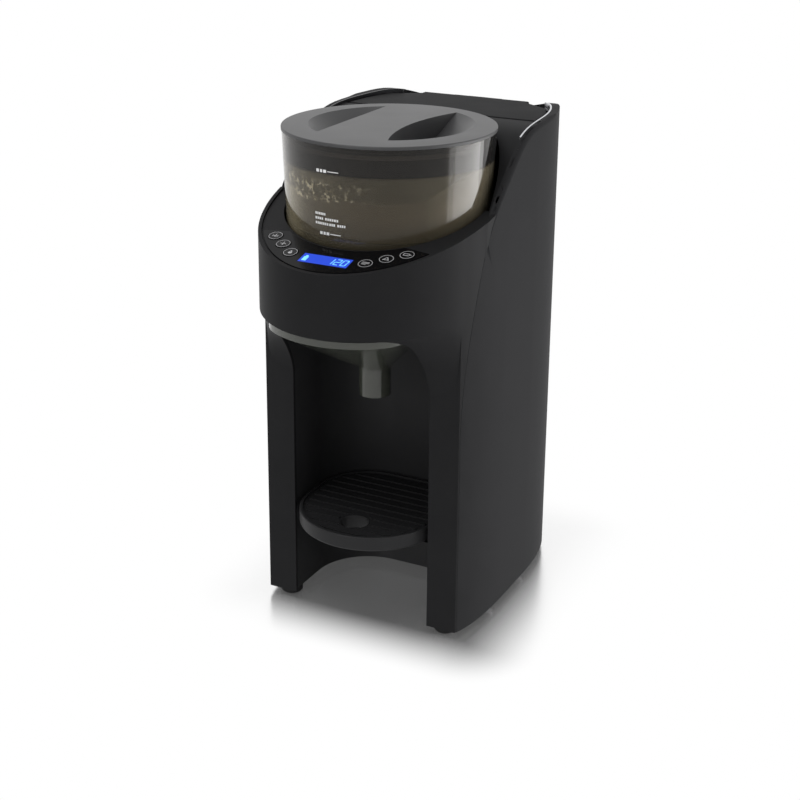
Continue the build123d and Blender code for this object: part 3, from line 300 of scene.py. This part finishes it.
def dress(node, material):
    # a smoothed copy of a node stands for it: doubles merged, sharp edges kept
    mesh = nodes[node].data.copy()
    sharpTurn = math.radians(meshCare["sharpAngle"])
    work = bmesh.new()
    work.from_mesh(mesh)
    bmesh.ops.remove_doubles(work, verts=work.verts, dist=meshCare["cadSamePoint"])
    bmesh.ops.dissolve_degenerate(work, edges=work.edges, dist=meshCare["shortest"])
    for face in work.faces:
        face.smooth = True
    for edge in work.edges:
        edge.smooth = not (len(edge.link_faces) == 2 and edge.calc_face_angle(0.0) > sharpTurn)
    if node.startswith("side_shell"):
        flatEdges = [edge for edge in work.edges if edge.smooth]
        bmesh.ops.dissolve_limit(work, angle_limit=math.radians(meshCare["flatAngle"]), verts=work.verts,
                                 edges=flatEdges)
        markOuterEdges(work)
    work.to_mesh(mesh)
    work.free()
    if "custom_normal" in mesh.attributes:
        mesh.attributes.remove(mesh.attributes["custom_normal"])
    obj = bpy.data.objects.new(node + ".finish", mesh)
    bpy.context.scene.collection.objects.link(obj)
    finish(obj, material)
    if node.startswith("side_shell"):
        bevel = obj.modifiers.new("topLineRounding", "BEVEL")
        bevel.width = shellEdge["round"] * mm
        bevel.segments = shellEdge["segments"]
        bevel.limit_method = "WEIGHT"
        bevel.use_clamp_overlap = False
    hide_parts(node)
    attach(obj, bodyOf[node])


# heights and sides in metres, from where a layer starts to where it is full
# the bank entries lay a denser film low on the left: partly banked powder, partly painted light reflected
# there
wallDust = {"scale": 240.0, "detail": 5.0, "breakup": 0.65, "gaps": (0.44, 0.6), "rise": (0.331, 0.337),
            "fall": (0.3575, 0.346), "side": (0.085, -0.045), "film": 0.3, "filmTop": 0.355, "leftDustAndLightShare": 0.8,
            "leftDustAndLightTop": (0.342, 0.339), "leftDustAndLightSide": (-0.018, -0.05), "amount": 0.75,
            "colour": tone(168, 158, 130)}
# the left and right tones are painted light: the powder is drawn paler towards either wall where light falls
# on it
powderToneAndPaintedLight = {"middle": tone(150, 138, 122), "left": tone(250, 240, 222), "right": tone(244, 238, 226),
               "leftFade": (-0.02, -0.055), "rightFade": (0.05, 0.066),
               "surface": {"rough": 0.95, "mottle": 0.1, "grain": 0.6, "grainScale": 420.0, "specular": 0.1}}
looks = {
    "satinBlack": {"colour": tone(31, 31, 32), "rough": 0.5, "specular": 0.045},
    "satinGrey": {"colour": tone(40, 40, 41), "rough": 0.45, "specular": 0.012},
    "linerBlack": {"colour": tone(42, 42, 43), "rough": 0.4, "specular": 0.1},
    "baseBlack": {"colour": tone(26, 26, 26), "rough": 0.6, "grain": 0.12, "grainScale": 700.0,
                  "specular": 0.2},
    "footRubber": {"colour": tone(24, 24, 24), "rough": 0.75, "grain": 0.1, "specular": 0.2},
    "plainSteel": {"colour": tone(170, 170, 172), "rough": 0.3, "metal": 1.0},
    "brightTrim": {"colour": tone(205, 206, 210), "rough": 0.22, "metal": 1.0},
    "shadedTrim": {"colour": tone(62, 62, 64), "rough": 0.35, "metal": 1.0},
    "inletBlack": {"colour": tone(16, 16, 16), "rough": 0.25, "specular": 0.3},
    "panelGloss": {"colour": tone(9, 9, 11), "rough": 0.12, "grain": 0.0, "specular": 0.08},
    "keyGloss": {"colour": tone(14, 14, 16), "rough": 0.16, "grain": 0.0, "specular": 0.12},
    "boardGreen": {"colour": tone(24, 92, 52), "rough": 0.4},
    "displayBlack": {"colour": tone(12, 14, 22), "rough": 0.15, "specular": 0.1},
    "lidGrey": {"colour": tone(54, 54, 55), "rough": 0.4, "specular": 0.36},
    "tankLidGrey": {"colour": tone(27, 27, 28), "rough": 0.5, "specular": 0.02},
    "wheelGrey": {"colour": tone(64, 62, 58), "rough": 0.35},
    "gasketClear": {"colour": tone(120, 120, 118), "rough": 0.5},
    "acetalWhite": {"colour": tone(222, 220, 212), "rough": 0.4},
    "brassTurned": {"colour": tone(190, 158, 88), "rough": 0.3, "metal": 1.0},
    "motorCan": {"colour": tone(165, 166, 170), "rough": 0.35, "metal": 1.0},
    "bracketGrey": {"colour": tone(56, 56, 58), "rough": 0.5},
    "chuteWhite": {"colour": tone(205, 205, 200), "rough": 0.35},
    "siliconeMilky": {"colour": tone(200, 200, 192), "rough": 0.45},
    "castAluminium": {"colour": tone(188, 189, 192), "rough": 0.42, "metal": 1.0, "grain": 0.1},
    "pumpBlack": {"colour": tone(30, 30, 31), "rough": 0.5, "specular": 0.2},
    "trayGrey": {"colour": tone(34, 34, 35), "rough": 0.45, "specular": 0.14},
    # the print's glow is painted light: the marks give off light though they are no lamp
    "printWhiteWithPaintedGlow": {"colour": tone(205, 205, 205), "rough": 0.5, "grain": 0.0,
                   "glow": (tone(200, 200, 200), 0.15)},
    "keyPrintGrey": {"colour": tone(168, 168, 170), "rough": 0.5, "grain": 0.0},
    "screenBlue": {"colour": tone(14, 26, 120), "rough": 0.3, "grain": 0.0, "mottle": 0.25, "specular": 0.1,
                   "glow": (tone(44, 80, 205), 0.9)},
    "digitPale": {"colour": tone(110, 190, 255), "rough": 0.3, "grain": 0.0,
                  "glow": (tone(110, 190, 250), 0.7)},
}
finishes = {name: moulded(name, **look) for name, look in looks.items()}
smokes = {
    "hopperSmoke": {"colour": tone(38, 37, 36), "tint": (0.70, 0.67, 0.63, 1.0), "faceOn": 0.22,
                    "edgeOn": 0.85, "coat": 0.8, "dust": wallDust},
    "tankSmoke": {"colour": tone(40, 41, 43), "tint": (0.6, 0.62, 0.65, 1.0), "faceOn": 0.5,
                  "edgeOn": 0.95, "rough": 0.12},
    "funnelSmoke": {"colour": tone(60, 62, 56), "tint": (0.62, 0.64, 0.56, 1.0), "faceOn": 0.8,
                    "edgeOn": 0.97, "rough": 0.14, "coat": 0.4, "specular": 0.5},
}
finishes.update({name: smoky(name, **look) for name, look in smokes.items()})
finishes["powderTanPaintedLight"] = powderWithPaintedLight("powderTanPaintedLight", powderToneAndPaintedLight)
print("stage: finishes made,", len(finishes))

dressing = {
    "front_fascia": "satinBlack", "side_shell_right": "satinGrey", "side_shell_left": "satinGrey",
    "rear_cover": "satinBlack", "edge_trim_right": "brightTrim", "edge_trim_left": "shadedTrim",
    "hopper_cradle": "satinBlack", "bay_liner": "linerBlack", "base_plate": "baseBlack",
    "rubber_feet": "footRubber", "base_screws": "plainSteel", "mains_inlet": "inletBlack",
    "control_lens": "panelGloss", "display_module": "displayBlack", "display_board": "boardGreen",
    "metering_wheel": "wheelGrey", "stirrer": "wheelGrey", "powder_scraper": "wheelGrey",
    "hopper_lid": "lidGrey", "lid_gasket": "gasketClear", "drive_gear": "acetalWhite",
    "motor_pinion": "brassTurned", "drive_motor": "motorCan", "gear_plate": "bracketGrey",
    "shaft_bushing": "brassTurned", "powder_chute": "chuteWhite", "water_nozzle": "siliconeMilky",
    "heater": "castAluminium", "water_pump": "pumpBlack", "inlet_hose": "siliconeMilky",
    "transfer_hose": "siliconeMilky", "outlet_hose": "siliconeMilky", "tank_shelf": "bracketGrey",
    "water_tank": "tankSmoke", "tank_valve": "siliconeMilky", "tank_lid": "tankLidGrey",
    "hinge_pin": "plainSteel", "funnel": "funnelSmoke", "bottle_tray": "trayGrey",
    "main_board": "boardGreen", "hopper_container": "hopperSmoke",
}
keySpots = {
    "key_inner_right": (29.5, -20.2), "key_inner_left": (-29.5, -20.2), "key_middle_right": (40.8, -10.6),
    "key_middle_left": (-40.8, -10.6), "key_outer_right": (52.2, -1.6), "key_outer_left": (-52.2, -1.6),
}
for node in keySpots:
    dressing[node] = "keyGloss"
for node, finishName in dressing.items():
    dress(node, finishes[finishName])
missing = sorted(set(nodes) - set(dressing))
print("stage: nodes dressed, not dressed:", missing)

deck = {"frontY": -100.0, "frontZ": 306.0, "rise": 0.25}
deckTilt = math.atan(deck["rise"])
deckAlong = Vector((0, math.cos(deckTilt), math.sin(deckTilt)))
deckUp = Vector((0, -math.sin(deckTilt), math.cos(deckTilt)))


def onDeck(x, along, height):  # millimetres on the inclined deck to metres in the frame
    origin = Vector((0, deck["frontY"], deck["frontZ"]))
    return (origin + Vector((x, 0, 0)) + deckAlong * along + deckUp * height) * mm


def deckSlab(name, loops, low, high, body, material):
    # flat closed shapes on the deck, from outlines in deck millimetres
    points, faces = [], []
    for loop in loops:
        start, count = len(points), len(loop)
        points += [onDeck(x, y, low) for x, y in loop] + [onDeck(x, y, high) for x, y in loop]
        faces.append([start + i for i in reversed(range(count))])
        faces.append([start + count + i for i in range(count)])
        faces += [[start + i, start + (i + 1) % count, start + count + (i + 1) % count, start + count + i]
                  for i in range(count)]
    mesh = meshFrom(name, points, faces)
    outward(mesh)
    newPiece(name, mesh, body, material, smooth=False)


def circleLoop(x, y, radius, count):
    turns = [math.radians(360.0 * i / count) for i in range(count)]
    return [(x + radius * math.cos(turn), y + radius * math.sin(turn)) for turn in turns]


def bar(x, y, width, height, turn=0.0):
    c, s = math.cos(math.radians(turn)), math.sin(math.radians(turn))
    w, h = width / 2, height / 2
    corners = [(-w, -h), (w, -h), (w, h), (-w, h)]
    return [(x + a * c - b * s, y + a * s + b * c) for a, b in corners]


keyPrint = {"ringRadius": 4.9, "ringWidth": 0.36, "low": 0.3, "high": 0.36, "ringSides": 48, "line": 0.55}


def ringSizes(x, y):
    height = (keyPrint["low"] + keyPrint["high"]) / 2
    return {"Ring radius": keyPrint["ringRadius"] * mm, "Line width": keyPrint["ringWidth"] * mm,
            "Line height": (keyPrint["high"] - keyPrint["low"]) * mm, "Sides": keyPrint["ringSides"],
            "Turn": (deckTilt, 0.0, 0.0), "Place": tuple(onDeck(x, y, height))}


def makeRingTree():
    # flat ring swept round a circle, then tilted and set down on the deck
    tree, given, output = newTree("keyRing", ringSizes(0, 0))
    circle = addNode(tree, "GeometryNodeCurvePrimitiveCircle")
    section = addNode(tree, "GeometryNodeCurvePrimitiveQuadrilateral")
    swept = addNode(tree, "GeometryNodeCurveToMesh")
    placed = addNode(tree, "GeometryNodeTransform")
    for source, target in (("Ring radius", circle.inputs["Radius"]), ("Sides", circle.inputs["Resolution"]),
                           ("Line width", section.inputs["Width"]), ("Line height", section.inputs["Height"]),
                           ("Turn", placed.inputs["Rotation"]), ("Place", placed.inputs["Translation"])):
        tree.links.new(given.outputs[source], target)
    tree.links.new(circle.outputs["Curve"], swept.inputs["Curve"])
    tree.links.new(section.outputs["Curve"], swept.inputs["Profile Curve"])
    tree.links.new(swept.outputs["Mesh"], placed.inputs["Geometry"])
    closeTree(tree, placed.outputs["Geometry"], output, finishes["keyPrintGrey"])
    return tree


# bars and loops round each key's middle, in deck millimetres
line = keyPrint["line"]
keySigns = {
    "key_inner_right": [bar(0, 1.3, 5.6, line), bar(0, 0, 5.6, line), bar(-1.0, -1.3, 3.6, line)],
    "key_middle_right": [bar(-1.2, 0, line, 4.4, -28), bar(1.2, 0, line, 4.4, 28), bar(0, -1.4, 3.4, line)],
    "key_outer_right": [bar(-0.4, 1.2, 4.4, line), bar(-0.4, -1.2, 4.4, line), bar(-2.5, 0, line, 2.4),
                        bar(1.9, 0, line, 1.6), bar(2.7, 0, 1.2, line)],
    "key_inner_left": [circleLoop(0, -0.6, 1.5, 20), [(-1.3, 0.0), (1.3, 0.0), (0, 2.6)]],
    "key_middle_left": [bar(0, 0, 4.4, line), bar(0, 0, line, 4.4)],
    "key_outer_left": [bar(0, 0.9, line, 2.8), circleLoop(0, -0.6, 0.9, 16), bar(-1.8, -0.4, line, 2.2),
                       bar(1.8, -0.4, line, 2.2)],
}
ringTree = makeRingTree()
for node, (x, y) in keySpots.items():
    grow(node + ".ring", ringTree, ringSizes(x, y), bodyOf[node])
    sign = [[(x + a, y + b) for a, b in shape] for shape in keySigns[node]]
    deckSlab(node + ".sign", sign, keyPrint["low"], keyPrint["high"], bodyOf[node],
             finishes["keyPrintGrey"])
print("stage: key prints")

screen = {"centre": -23.5, "width": 38.0, "depth": 11.6, "low": -0.25, "high": -0.2, "figures": -0.15}
screenLoop = bar(0, screen["centre"], screen["width"], screen["depth"])
deckSlab("screenFace", [screenLoop], screen["low"], screen["high"], "housing",
         finishes["screenBlue"])
segmentsOf = {"0": "abcdef", "1": "bc", "2": "abged", "3": "abgcd", "4": "fgbc", "5": "afgcd", "6": "afgedc",
              "7": "abc", "8": "abcdefg", "9": "abcdfg"}
digit = {"width": 3.6, "height": 7.0, "stroke": 0.8, "step": 5.4, "text": "120", "start": 2.5, "lean": 0.12,
         "fill": 0.92}
bottleSign = {"x": -15.5, "body": (-1.0, 3.4, 5.6), "neck": (2.6, 1.8, 1.4)}


def digitBars(character, left, middle):
    w, h, s = digit["width"], digit["height"], digit["stroke"]
    places = {"a": (0, h / 2, w, s), "d": (0, -h / 2, w, s), "g": (0, 0, w, s),
              "b": (w / 2, h / 4, s, h / 2), "c": (w / 2, -h / 4, s, h / 2),
              "f": (-w / 2, h / 4, s, h / 2), "e": (-w / 2, -h / 4, s, h / 2)}
    shapes = []
    for segment in segmentsOf[character]:
        x, y, across, along = places[segment]
        loop = bar(x, y, across * digit["fill"], along * digit["fill"])
        shapes.append([(left + w / 2 + a + b * digit["lean"], middle + b) for a, b in loop])
    return shapes


figures = []
for place, character in enumerate(digit["text"]):
    figures += digitBars(character, digit["start"] + place * digit["step"], screen["centre"])
for along, width, height in (bottleSign["body"], bottleSign["neck"]):
    figures.append(bar(bottleSign["x"], screen["centre"] + along, width, height))
deckSlab("screenDigits", figures, screen["high"], screen["figures"], "housing",
         finishes["digitPale"])
print("stage: screen")

# outside of the hopper's wall, and the powder behind it, in millimetres
hopperWall = {"axisY": -27.0, "low": 303.3, "high": 375.3, "lowRadius": 75.0, "flare": 3.0}
# a bank climbs from its first x to its second, by its third figure
powder = {"outer": 72.4, "inner": 66.7, "middle": 0.5, "bottom": 308.4, "ceiling": 333.6, "level": 336.6,
          "leastCover": 1.0, "sides": 240, "rings": 40, "rightBank": (46.0, 74.0, 12.5),
          "leftBank": (-24.0, -70.0, 4.0), "seed": 7, "dents": 150, "dentSpan": 74, "dentSize": (1.2, 10),
          "dentLift": (-1.9, 2.0)}


def powderHeight(x, y):
    # heaped and dented surface, banked against the wall on the right and a little on the left
    random.seed(powder["seed"])
    height, span = powder["level"], powder["dentSpan"]
    for first, last, lift in (powder["rightBank"], powder["leftBank"]):
        share = min(1.0, max(0.0, (x - first) / (last - first)))
        height += lift * share * share * (3 - 2 * share)
    for _ in range(powder["dents"]):
        cx, cy = random.uniform(-span, span), random.uniform(-span, span)
        size, lift = random.uniform(*powder["dentSize"]), random.uniform(*powder["dentLift"])
        height += lift * math.exp(-((x - cx) ** 2 + (y - cy) ** 2) / (2 * size * size))
    return max(powder["ceiling"] + powder["leastCover"], height)


def makePowder():
    # ring against the wall under a heaped top, hollow where the stirrer turns
    n, points, faces = powder["sides"], [], []

    def ring(radius, heightAt):
        start = len(points)
        for i in range(n):
            a = 2 * math.pi * i / n
            x, y = radius * math.cos(a), radius * math.sin(a)
            points.append(Vector((x, hopperWall["axisY"] + y, heightAt(x, y))) * mm)
        return start

    def flat(level):
        return lambda x, y: powder[level]

    def join(a, b):
        for i in range(n):
            j = (i + 1) % n
            faces.append([a + i, a + j, b + j, b + i])

    starts = [ring(powder["middle"], flat("ceiling")), ring(powder["inner"], flat("ceiling")),
              ring(powder["inner"], flat("bottom")), ring(powder["outer"], flat("bottom")),
              ring(powder["outer"], powderHeight)]
    for step in range(1, powder["rings"]):
        inward = powder["outer"] * (1 - step / powder["rings"])
        starts.append(ring(inward + powder["middle"], powderHeight))
    for a, b in zip(starts, starts[1:]):
        join(a, b)
    faces.append([starts[0] + i for i in range(n)])
    faces.append([starts[-1] + i for i in range(n)])
    mesh = meshFrom("powderHeap", points, faces)
    outward(mesh)
    newPiece("powderHeap", mesh, "hopper", finishes["powderTanPaintedLight"])


makePowder()
print("stage: powder")

# each row: name, angle round the hopper in degrees, height, bar length, bar height, bars, gap
marks = {
    "lift": 0.1, "thick": 0.1, "seed": 4, "lineGap": 0.02, "leastShare": 0.7, "fullShare": 1.0,
    "rows": [
        ("upperBlocks", -102.6, 357.6, 2.6, 2.1, 3, 0.5),
        ("upperDash", -95.2, 357.6, 2.9, 0.55, 3, 0.02),
        ("firstRow", -104.9, 326.6, 1.25, 1.7, 6, 0.35),
        ("secondRow", -104.9, 323.1, 1.5, 1.7, 4, 0.4),
        ("secondRowEnd", -98.2, 323.1, 1.5, 1.7, 6, 0.4),
        ("thirdRow", -104.9, 319.6, 1.35, 1.7, 7, 0.35),
        ("thirdRowMiddle", -95.6, 319.6, 1.35, 1.7, 3, 0.35),
        ("thirdRowEnd", -90.6, 319.6, 1.35, 1.7, 4, 0.35),
        ("lowerBlocks", -101.6, 312.7, 2.4, 2.0, 3, 0.5),
        ("lowerDash", -94.6, 312.7, 2.8, 0.55, 3, 0.02),
    ],
}


def rowSizes(angle, z, length, height, bars, gap):
    # the row stands off the wall at its height, and bars with hardly a gap make one even line
    rise, wallHeight = z - hopperWall["low"], hopperWall["high"] - hopperWall["low"]
    radius = hopperWall["lowRadius"] + hopperWall["flare"] * rise / wallHeight + marks["lift"]
    shortest = marks["leastShare"] if gap > marks["lineGap"] else marks["fullShare"]
    return {"Radius": radius * mm, "Angle": math.radians(angle), "Pitch": (length + gap) / radius,
            "Height": z * mm, "Bars": bars, "Bar length": length * mm, "Bar height": height * mm,
            "Shortest": shortest, "Thickness": marks["thick"] * mm, "Seed": marks["seed"],
            "Axis": (0.0, hopperWall["axisY"] * mm, 0.0)}


def makeDashTree():
    # row of small bars set round the wall, their lengths varied by a fixed seed
    tree, given, output = newTree("wallDashes", rowSizes(*marks["rows"][0][1:]))
    row = addNode(tree, "GeometryNodeMeshLine")
    index = addNode(tree, "GeometryNodeInputIndex")
    turn = addNode(tree, "ShaderNodeMath", operation="MULTIPLY_ADD")
    along = addNode(tree, "GeometryNodeSetPosition")
    cosine, sine = (addNode(tree, "ShaderNodeMath", operation=kind) for kind in ("COSINE", "SINE"))
    across, back = (addNode(tree, "ShaderNodeMath", operation="MULTIPLY") for _ in range(2))
    spot = addNode(tree, "ShaderNodeCombineXYZ")
    moved = addNode(tree, "ShaderNodeVectorMath", operation="ADD")
    block = addNode(tree, "GeometryNodeMeshCube")
    size = addNode(tree, "ShaderNodeCombineXYZ")
    facing = addNode(tree, "ShaderNodeCombineXYZ")
    share = addNode(tree, "FunctionNodeRandomValue", {3: marks["fullShare"]}, data_type="FLOAT")
    stretch = addNode(tree, "ShaderNodeCombineXYZ", {"X": 1.0, "Z": 1.0})
    copies = addNode(tree, "GeometryNodeInstanceOnPoints")
    links = [
        (given.outputs["Bars"], row.inputs["Count"]), (row.outputs["Mesh"], along.inputs["Geometry"]),
        (index.outputs[0], turn.inputs[0]), (given.outputs["Pitch"], turn.inputs[1]),
        (given.outputs["Angle"], turn.inputs[2]), (turn.outputs[0], cosine.inputs[0]),
        (turn.outputs[0], sine.inputs[0]), (cosine.outputs[0], across.inputs[0]),
        (given.outputs["Radius"], across.inputs[1]), (sine.outputs[0], back.inputs[0]),
        (given.outputs["Radius"], back.inputs[1]), (across.outputs[0], spot.inputs["X"]),
        (back.outputs[0], spot.inputs["Y"]), (given.outputs["Height"], spot.inputs["Z"]),
        (spot.outputs[0], moved.inputs[0]), (given.outputs["Axis"], moved.inputs[1]),
        (moved.outputs[0], along.inputs["Position"]), (given.outputs["Thickness"], size.inputs["X"]),
        (given.outputs["Bar length"], size.inputs["Y"]), (given.outputs["Bar height"], size.inputs["Z"]),
        (size.outputs[0], block.inputs["Size"]), (turn.outputs[0], facing.inputs["Z"]),
        (given.outputs["Seed"], share.inputs["Seed"]), (given.outputs["Shortest"], share.inputs[2]),
        (share.outputs[1], stretch.inputs["Y"]), (along.outputs[0], copies.inputs["Points"]),
        (block.outputs["Mesh"], copies.inputs["Instance"]), (facing.outputs[0], copies.inputs["Rotation"]),
        (stretch.outputs[0], copies.inputs["Scale"]),
    ]
    for source, target in links:
        tree.links.new(source, target)
    closeTree(tree, copies.outputs["Instances"], output, finishes["printWhiteWithPaintedGlow"])
    return tree


def printMarks():
    tree = makeDashTree()
    for name, *row in marks["rows"]:
        grow("hopperPrint." + name, tree, rowSizes(*row), "hopper")


printMarks()
print("stage: hopper marks")

# centre and half give the machine's footprint, and the floor turns white over the fade, all in metres;
# each lamp: name, place, target, width and height, power
studio = {"floorSize": 12.0, "world": 0.42, "centre": (0.0, 0.036, 0.0), "half": (0.089, 0.106, 0.0),
          "fade": (-0.01, 0.06), "matt": 0.9, "sheen": 0.88, "mirror": 0.95, "mirrorRough": 0.24,
          "lamps": [("sideSoftbox", (0.95, 0.15, 0.6), (0.0, 0.1, 0.3), (1.0, 0.9), 2.6),
                    ("topSoftbox", (-0.2, -0.4, 1.9), (0, 0, 0.2), (1.6, 1.2), 17.0),
                    ("frontFill", (-0.35, -1.9, 0.8), (0, 0, 0.25), (1.0, 1.0), 8.0),
                    ("lowStrip", (0.668, 0.314, 0.15), (0, -0.027, 0.15), (0.73, 0.28), 1.9),
                    ("lowStripCore", (0.65, 0.305, 0.14), (0, -0.027, 0.14), (0.5, 0.24), 0.9)]}


def cameraOrMirror(tree):
    # 1 for rays from the camera, off gloss and through clear plastic, 0 for light on the object
    path = addNode(tree, "ShaderNodeLightPath")
    seen = path.outputs["Is Camera Ray"]
    for kind in ("Is Glossy Ray", "Is Transmission Ray"):
        seen = combine(tree, "MAXIMUM", seen, path.outputs[kind])
    return seen


def floorFinish():
    # soft mirror with a little matt white close round the machine, plain white farther out
    material = bpy.data.materials.new("paleFloor")
    material.use_nodes = True
    tree = material.node_tree
    tree.nodes.clear()
    out = addNode(tree, "ShaderNodeOutputMaterial")
    matt = addNode(tree, "ShaderNodeBsdfDiffuse", {"Color": grey(studio["matt"])})
    sheen = addNode(tree, "ShaderNodeBsdfGlossy",
                    {"Color": grey(studio["mirror"]), "Roughness": studio["mirrorRough"]})
    white = addNode(tree, "ShaderNodeEmission", {"Color": grey(1.0), "Strength": 1.0})
    surface = addNode(tree, "ShaderNodeMixShader", {"Fac": studio["sheen"]})
    place = addNode(tree, "ShaderNodeTexCoord")
    shifted = addNode(tree, "ShaderNodeVectorMath", {1: studio["centre"]}, operation="SUBTRACT")
    mirrored = addNode(tree, "ShaderNodeVectorMath", operation="ABSOLUTE")
    past = addNode(tree, "ShaderNodeVectorMath", {1: studio["half"]}, operation="SUBTRACT")
    outside = addNode(tree, "ShaderNodeVectorMath", {1: (0.0, 0.0, 0.0)}, operation="MAXIMUM")
    away = addNode(tree, "ShaderNodeVectorMath", operation="LENGTH")
    mix = addNode(tree, "ShaderNodeMixShader")
    links = [
        (place.outputs["Object"], shifted.inputs[0]), (shifted.outputs[0], mirrored.inputs[0]),
        (mirrored.outputs[0], past.inputs[0]), (past.outputs[0], outside.inputs[0]),
        (outside.outputs[0], away.inputs[0]), (matt.outputs[0], surface.inputs[1]),
        (sheen.outputs[0], surface.inputs[2]), (surface.outputs[0], mix.inputs[1]),
        (white.outputs[0], mix.inputs[2]), (mix.outputs[0], out.inputs["Surface"]),
    ]
    for source, target in links:
        tree.links.new(source, target)
    fade = easedFade(tree, away.outputs["Value"], studio["fade"])
    tree.links.new(combine(tree, "MULTIPLY", fade, cameraOrMirror(tree)), mix.inputs["Fac"])
    return material


def makeStudio():
    half = studio["floorSize"] / 2
    mesh = meshFrom("paleFloor", [(-half, -half, 0), (half, -half, 0), (half, half, 0), (-half, half, 0)],
                    [[0, 1, 2, 3]])
    floor = bpy.data.objects.new("paleFloor", mesh)
    bpy.context.scene.collection.objects.link(floor)
    finish(floor, floorFinish())

    world = bpy.data.worlds.new("studioWorld")
    bpy.context.scene.world = world
    world.use_nodes = True
    tree = world.node_tree
    tree.nodes.clear()
    out = addNode(tree, "ShaderNodeOutputWorld")
    shown = addNode(tree, "ShaderNodeBackground", {"Color": grey(1.0), "Strength": 1.0})
    lit = addNode(tree, "ShaderNodeBackground", {"Color": grey(1.0), "Strength": studio["world"]})
    mix = addNode(tree, "ShaderNodeMixShader")
    tree.links.new(cameraOrMirror(tree), mix.inputs["Fac"])
    tree.links.new(lit.outputs[0], mix.inputs[1])
    tree.links.new(shown.outputs[0], mix.inputs[2])
    tree.links.new(mix.outputs[0], out.inputs["Surface"])

    for name, place, target, (width, height), power in studio["lamps"]:
        lamp = bpy.data.lights.new(name, "AREA")
        lamp.shape = "RECTANGLE"
        lamp.size, lamp.size_y = width, height
        lamp.energy = power
        holder = bpy.data.objects.new(name, lamp)
        bpy.context.scene.collection.objects.link(holder)
        holder.location = place
        holder.rotation_euler = (Vector(target) - Vector(place)).to_track_quat("-Z", "Y").to_euler()
        holder.visible_camera = False


makeStudio()

view = {"place": (0.50296, -1.01540, 0.60355), "right": (0.886528, 0.462665, 0.003003),
        "up": (-0.151017, 0.283222, 0.947090), "ahead": (-0.437335, 0.840075, -0.320955),
        "focalPixels": 1554.13, "centre": (374.48, 320.75), "frame": 800.0, "sensor": 36.0, "near": 0.05,
        "far": 60.0}


def placeCamera():
    camera = bpy.data.cameras.new("studioCamera")
    camera.sensor_width = view["sensor"]
    camera.lens = view["focalPixels"] / view["frame"] * view["sensor"]
    camera.shift_x = (view["frame"] / 2 - view["centre"][0]) / view["frame"]
    camera.shift_y = (view["centre"][1] - view["frame"] / 2) / view["frame"]
    camera.clip_start, camera.clip_end = view["near"], view["far"]
    holder = bpy.data.objects.new("studioCamera", camera)
    bpy.context.scene.collection.objects.link(holder)
    back = [-v for v in view["ahead"]]
    turn = Matrix((view["right"], view["up"], back)).transposed()
    holder.matrix_world = Matrix.Translation(view["place"]) @ turn.to_4x4()
    bpy.context.scene.camera = holder


placeCamera()
bpy.context.scene.view_settings.view_transform = "Standard"
print("stage: studio and camera")
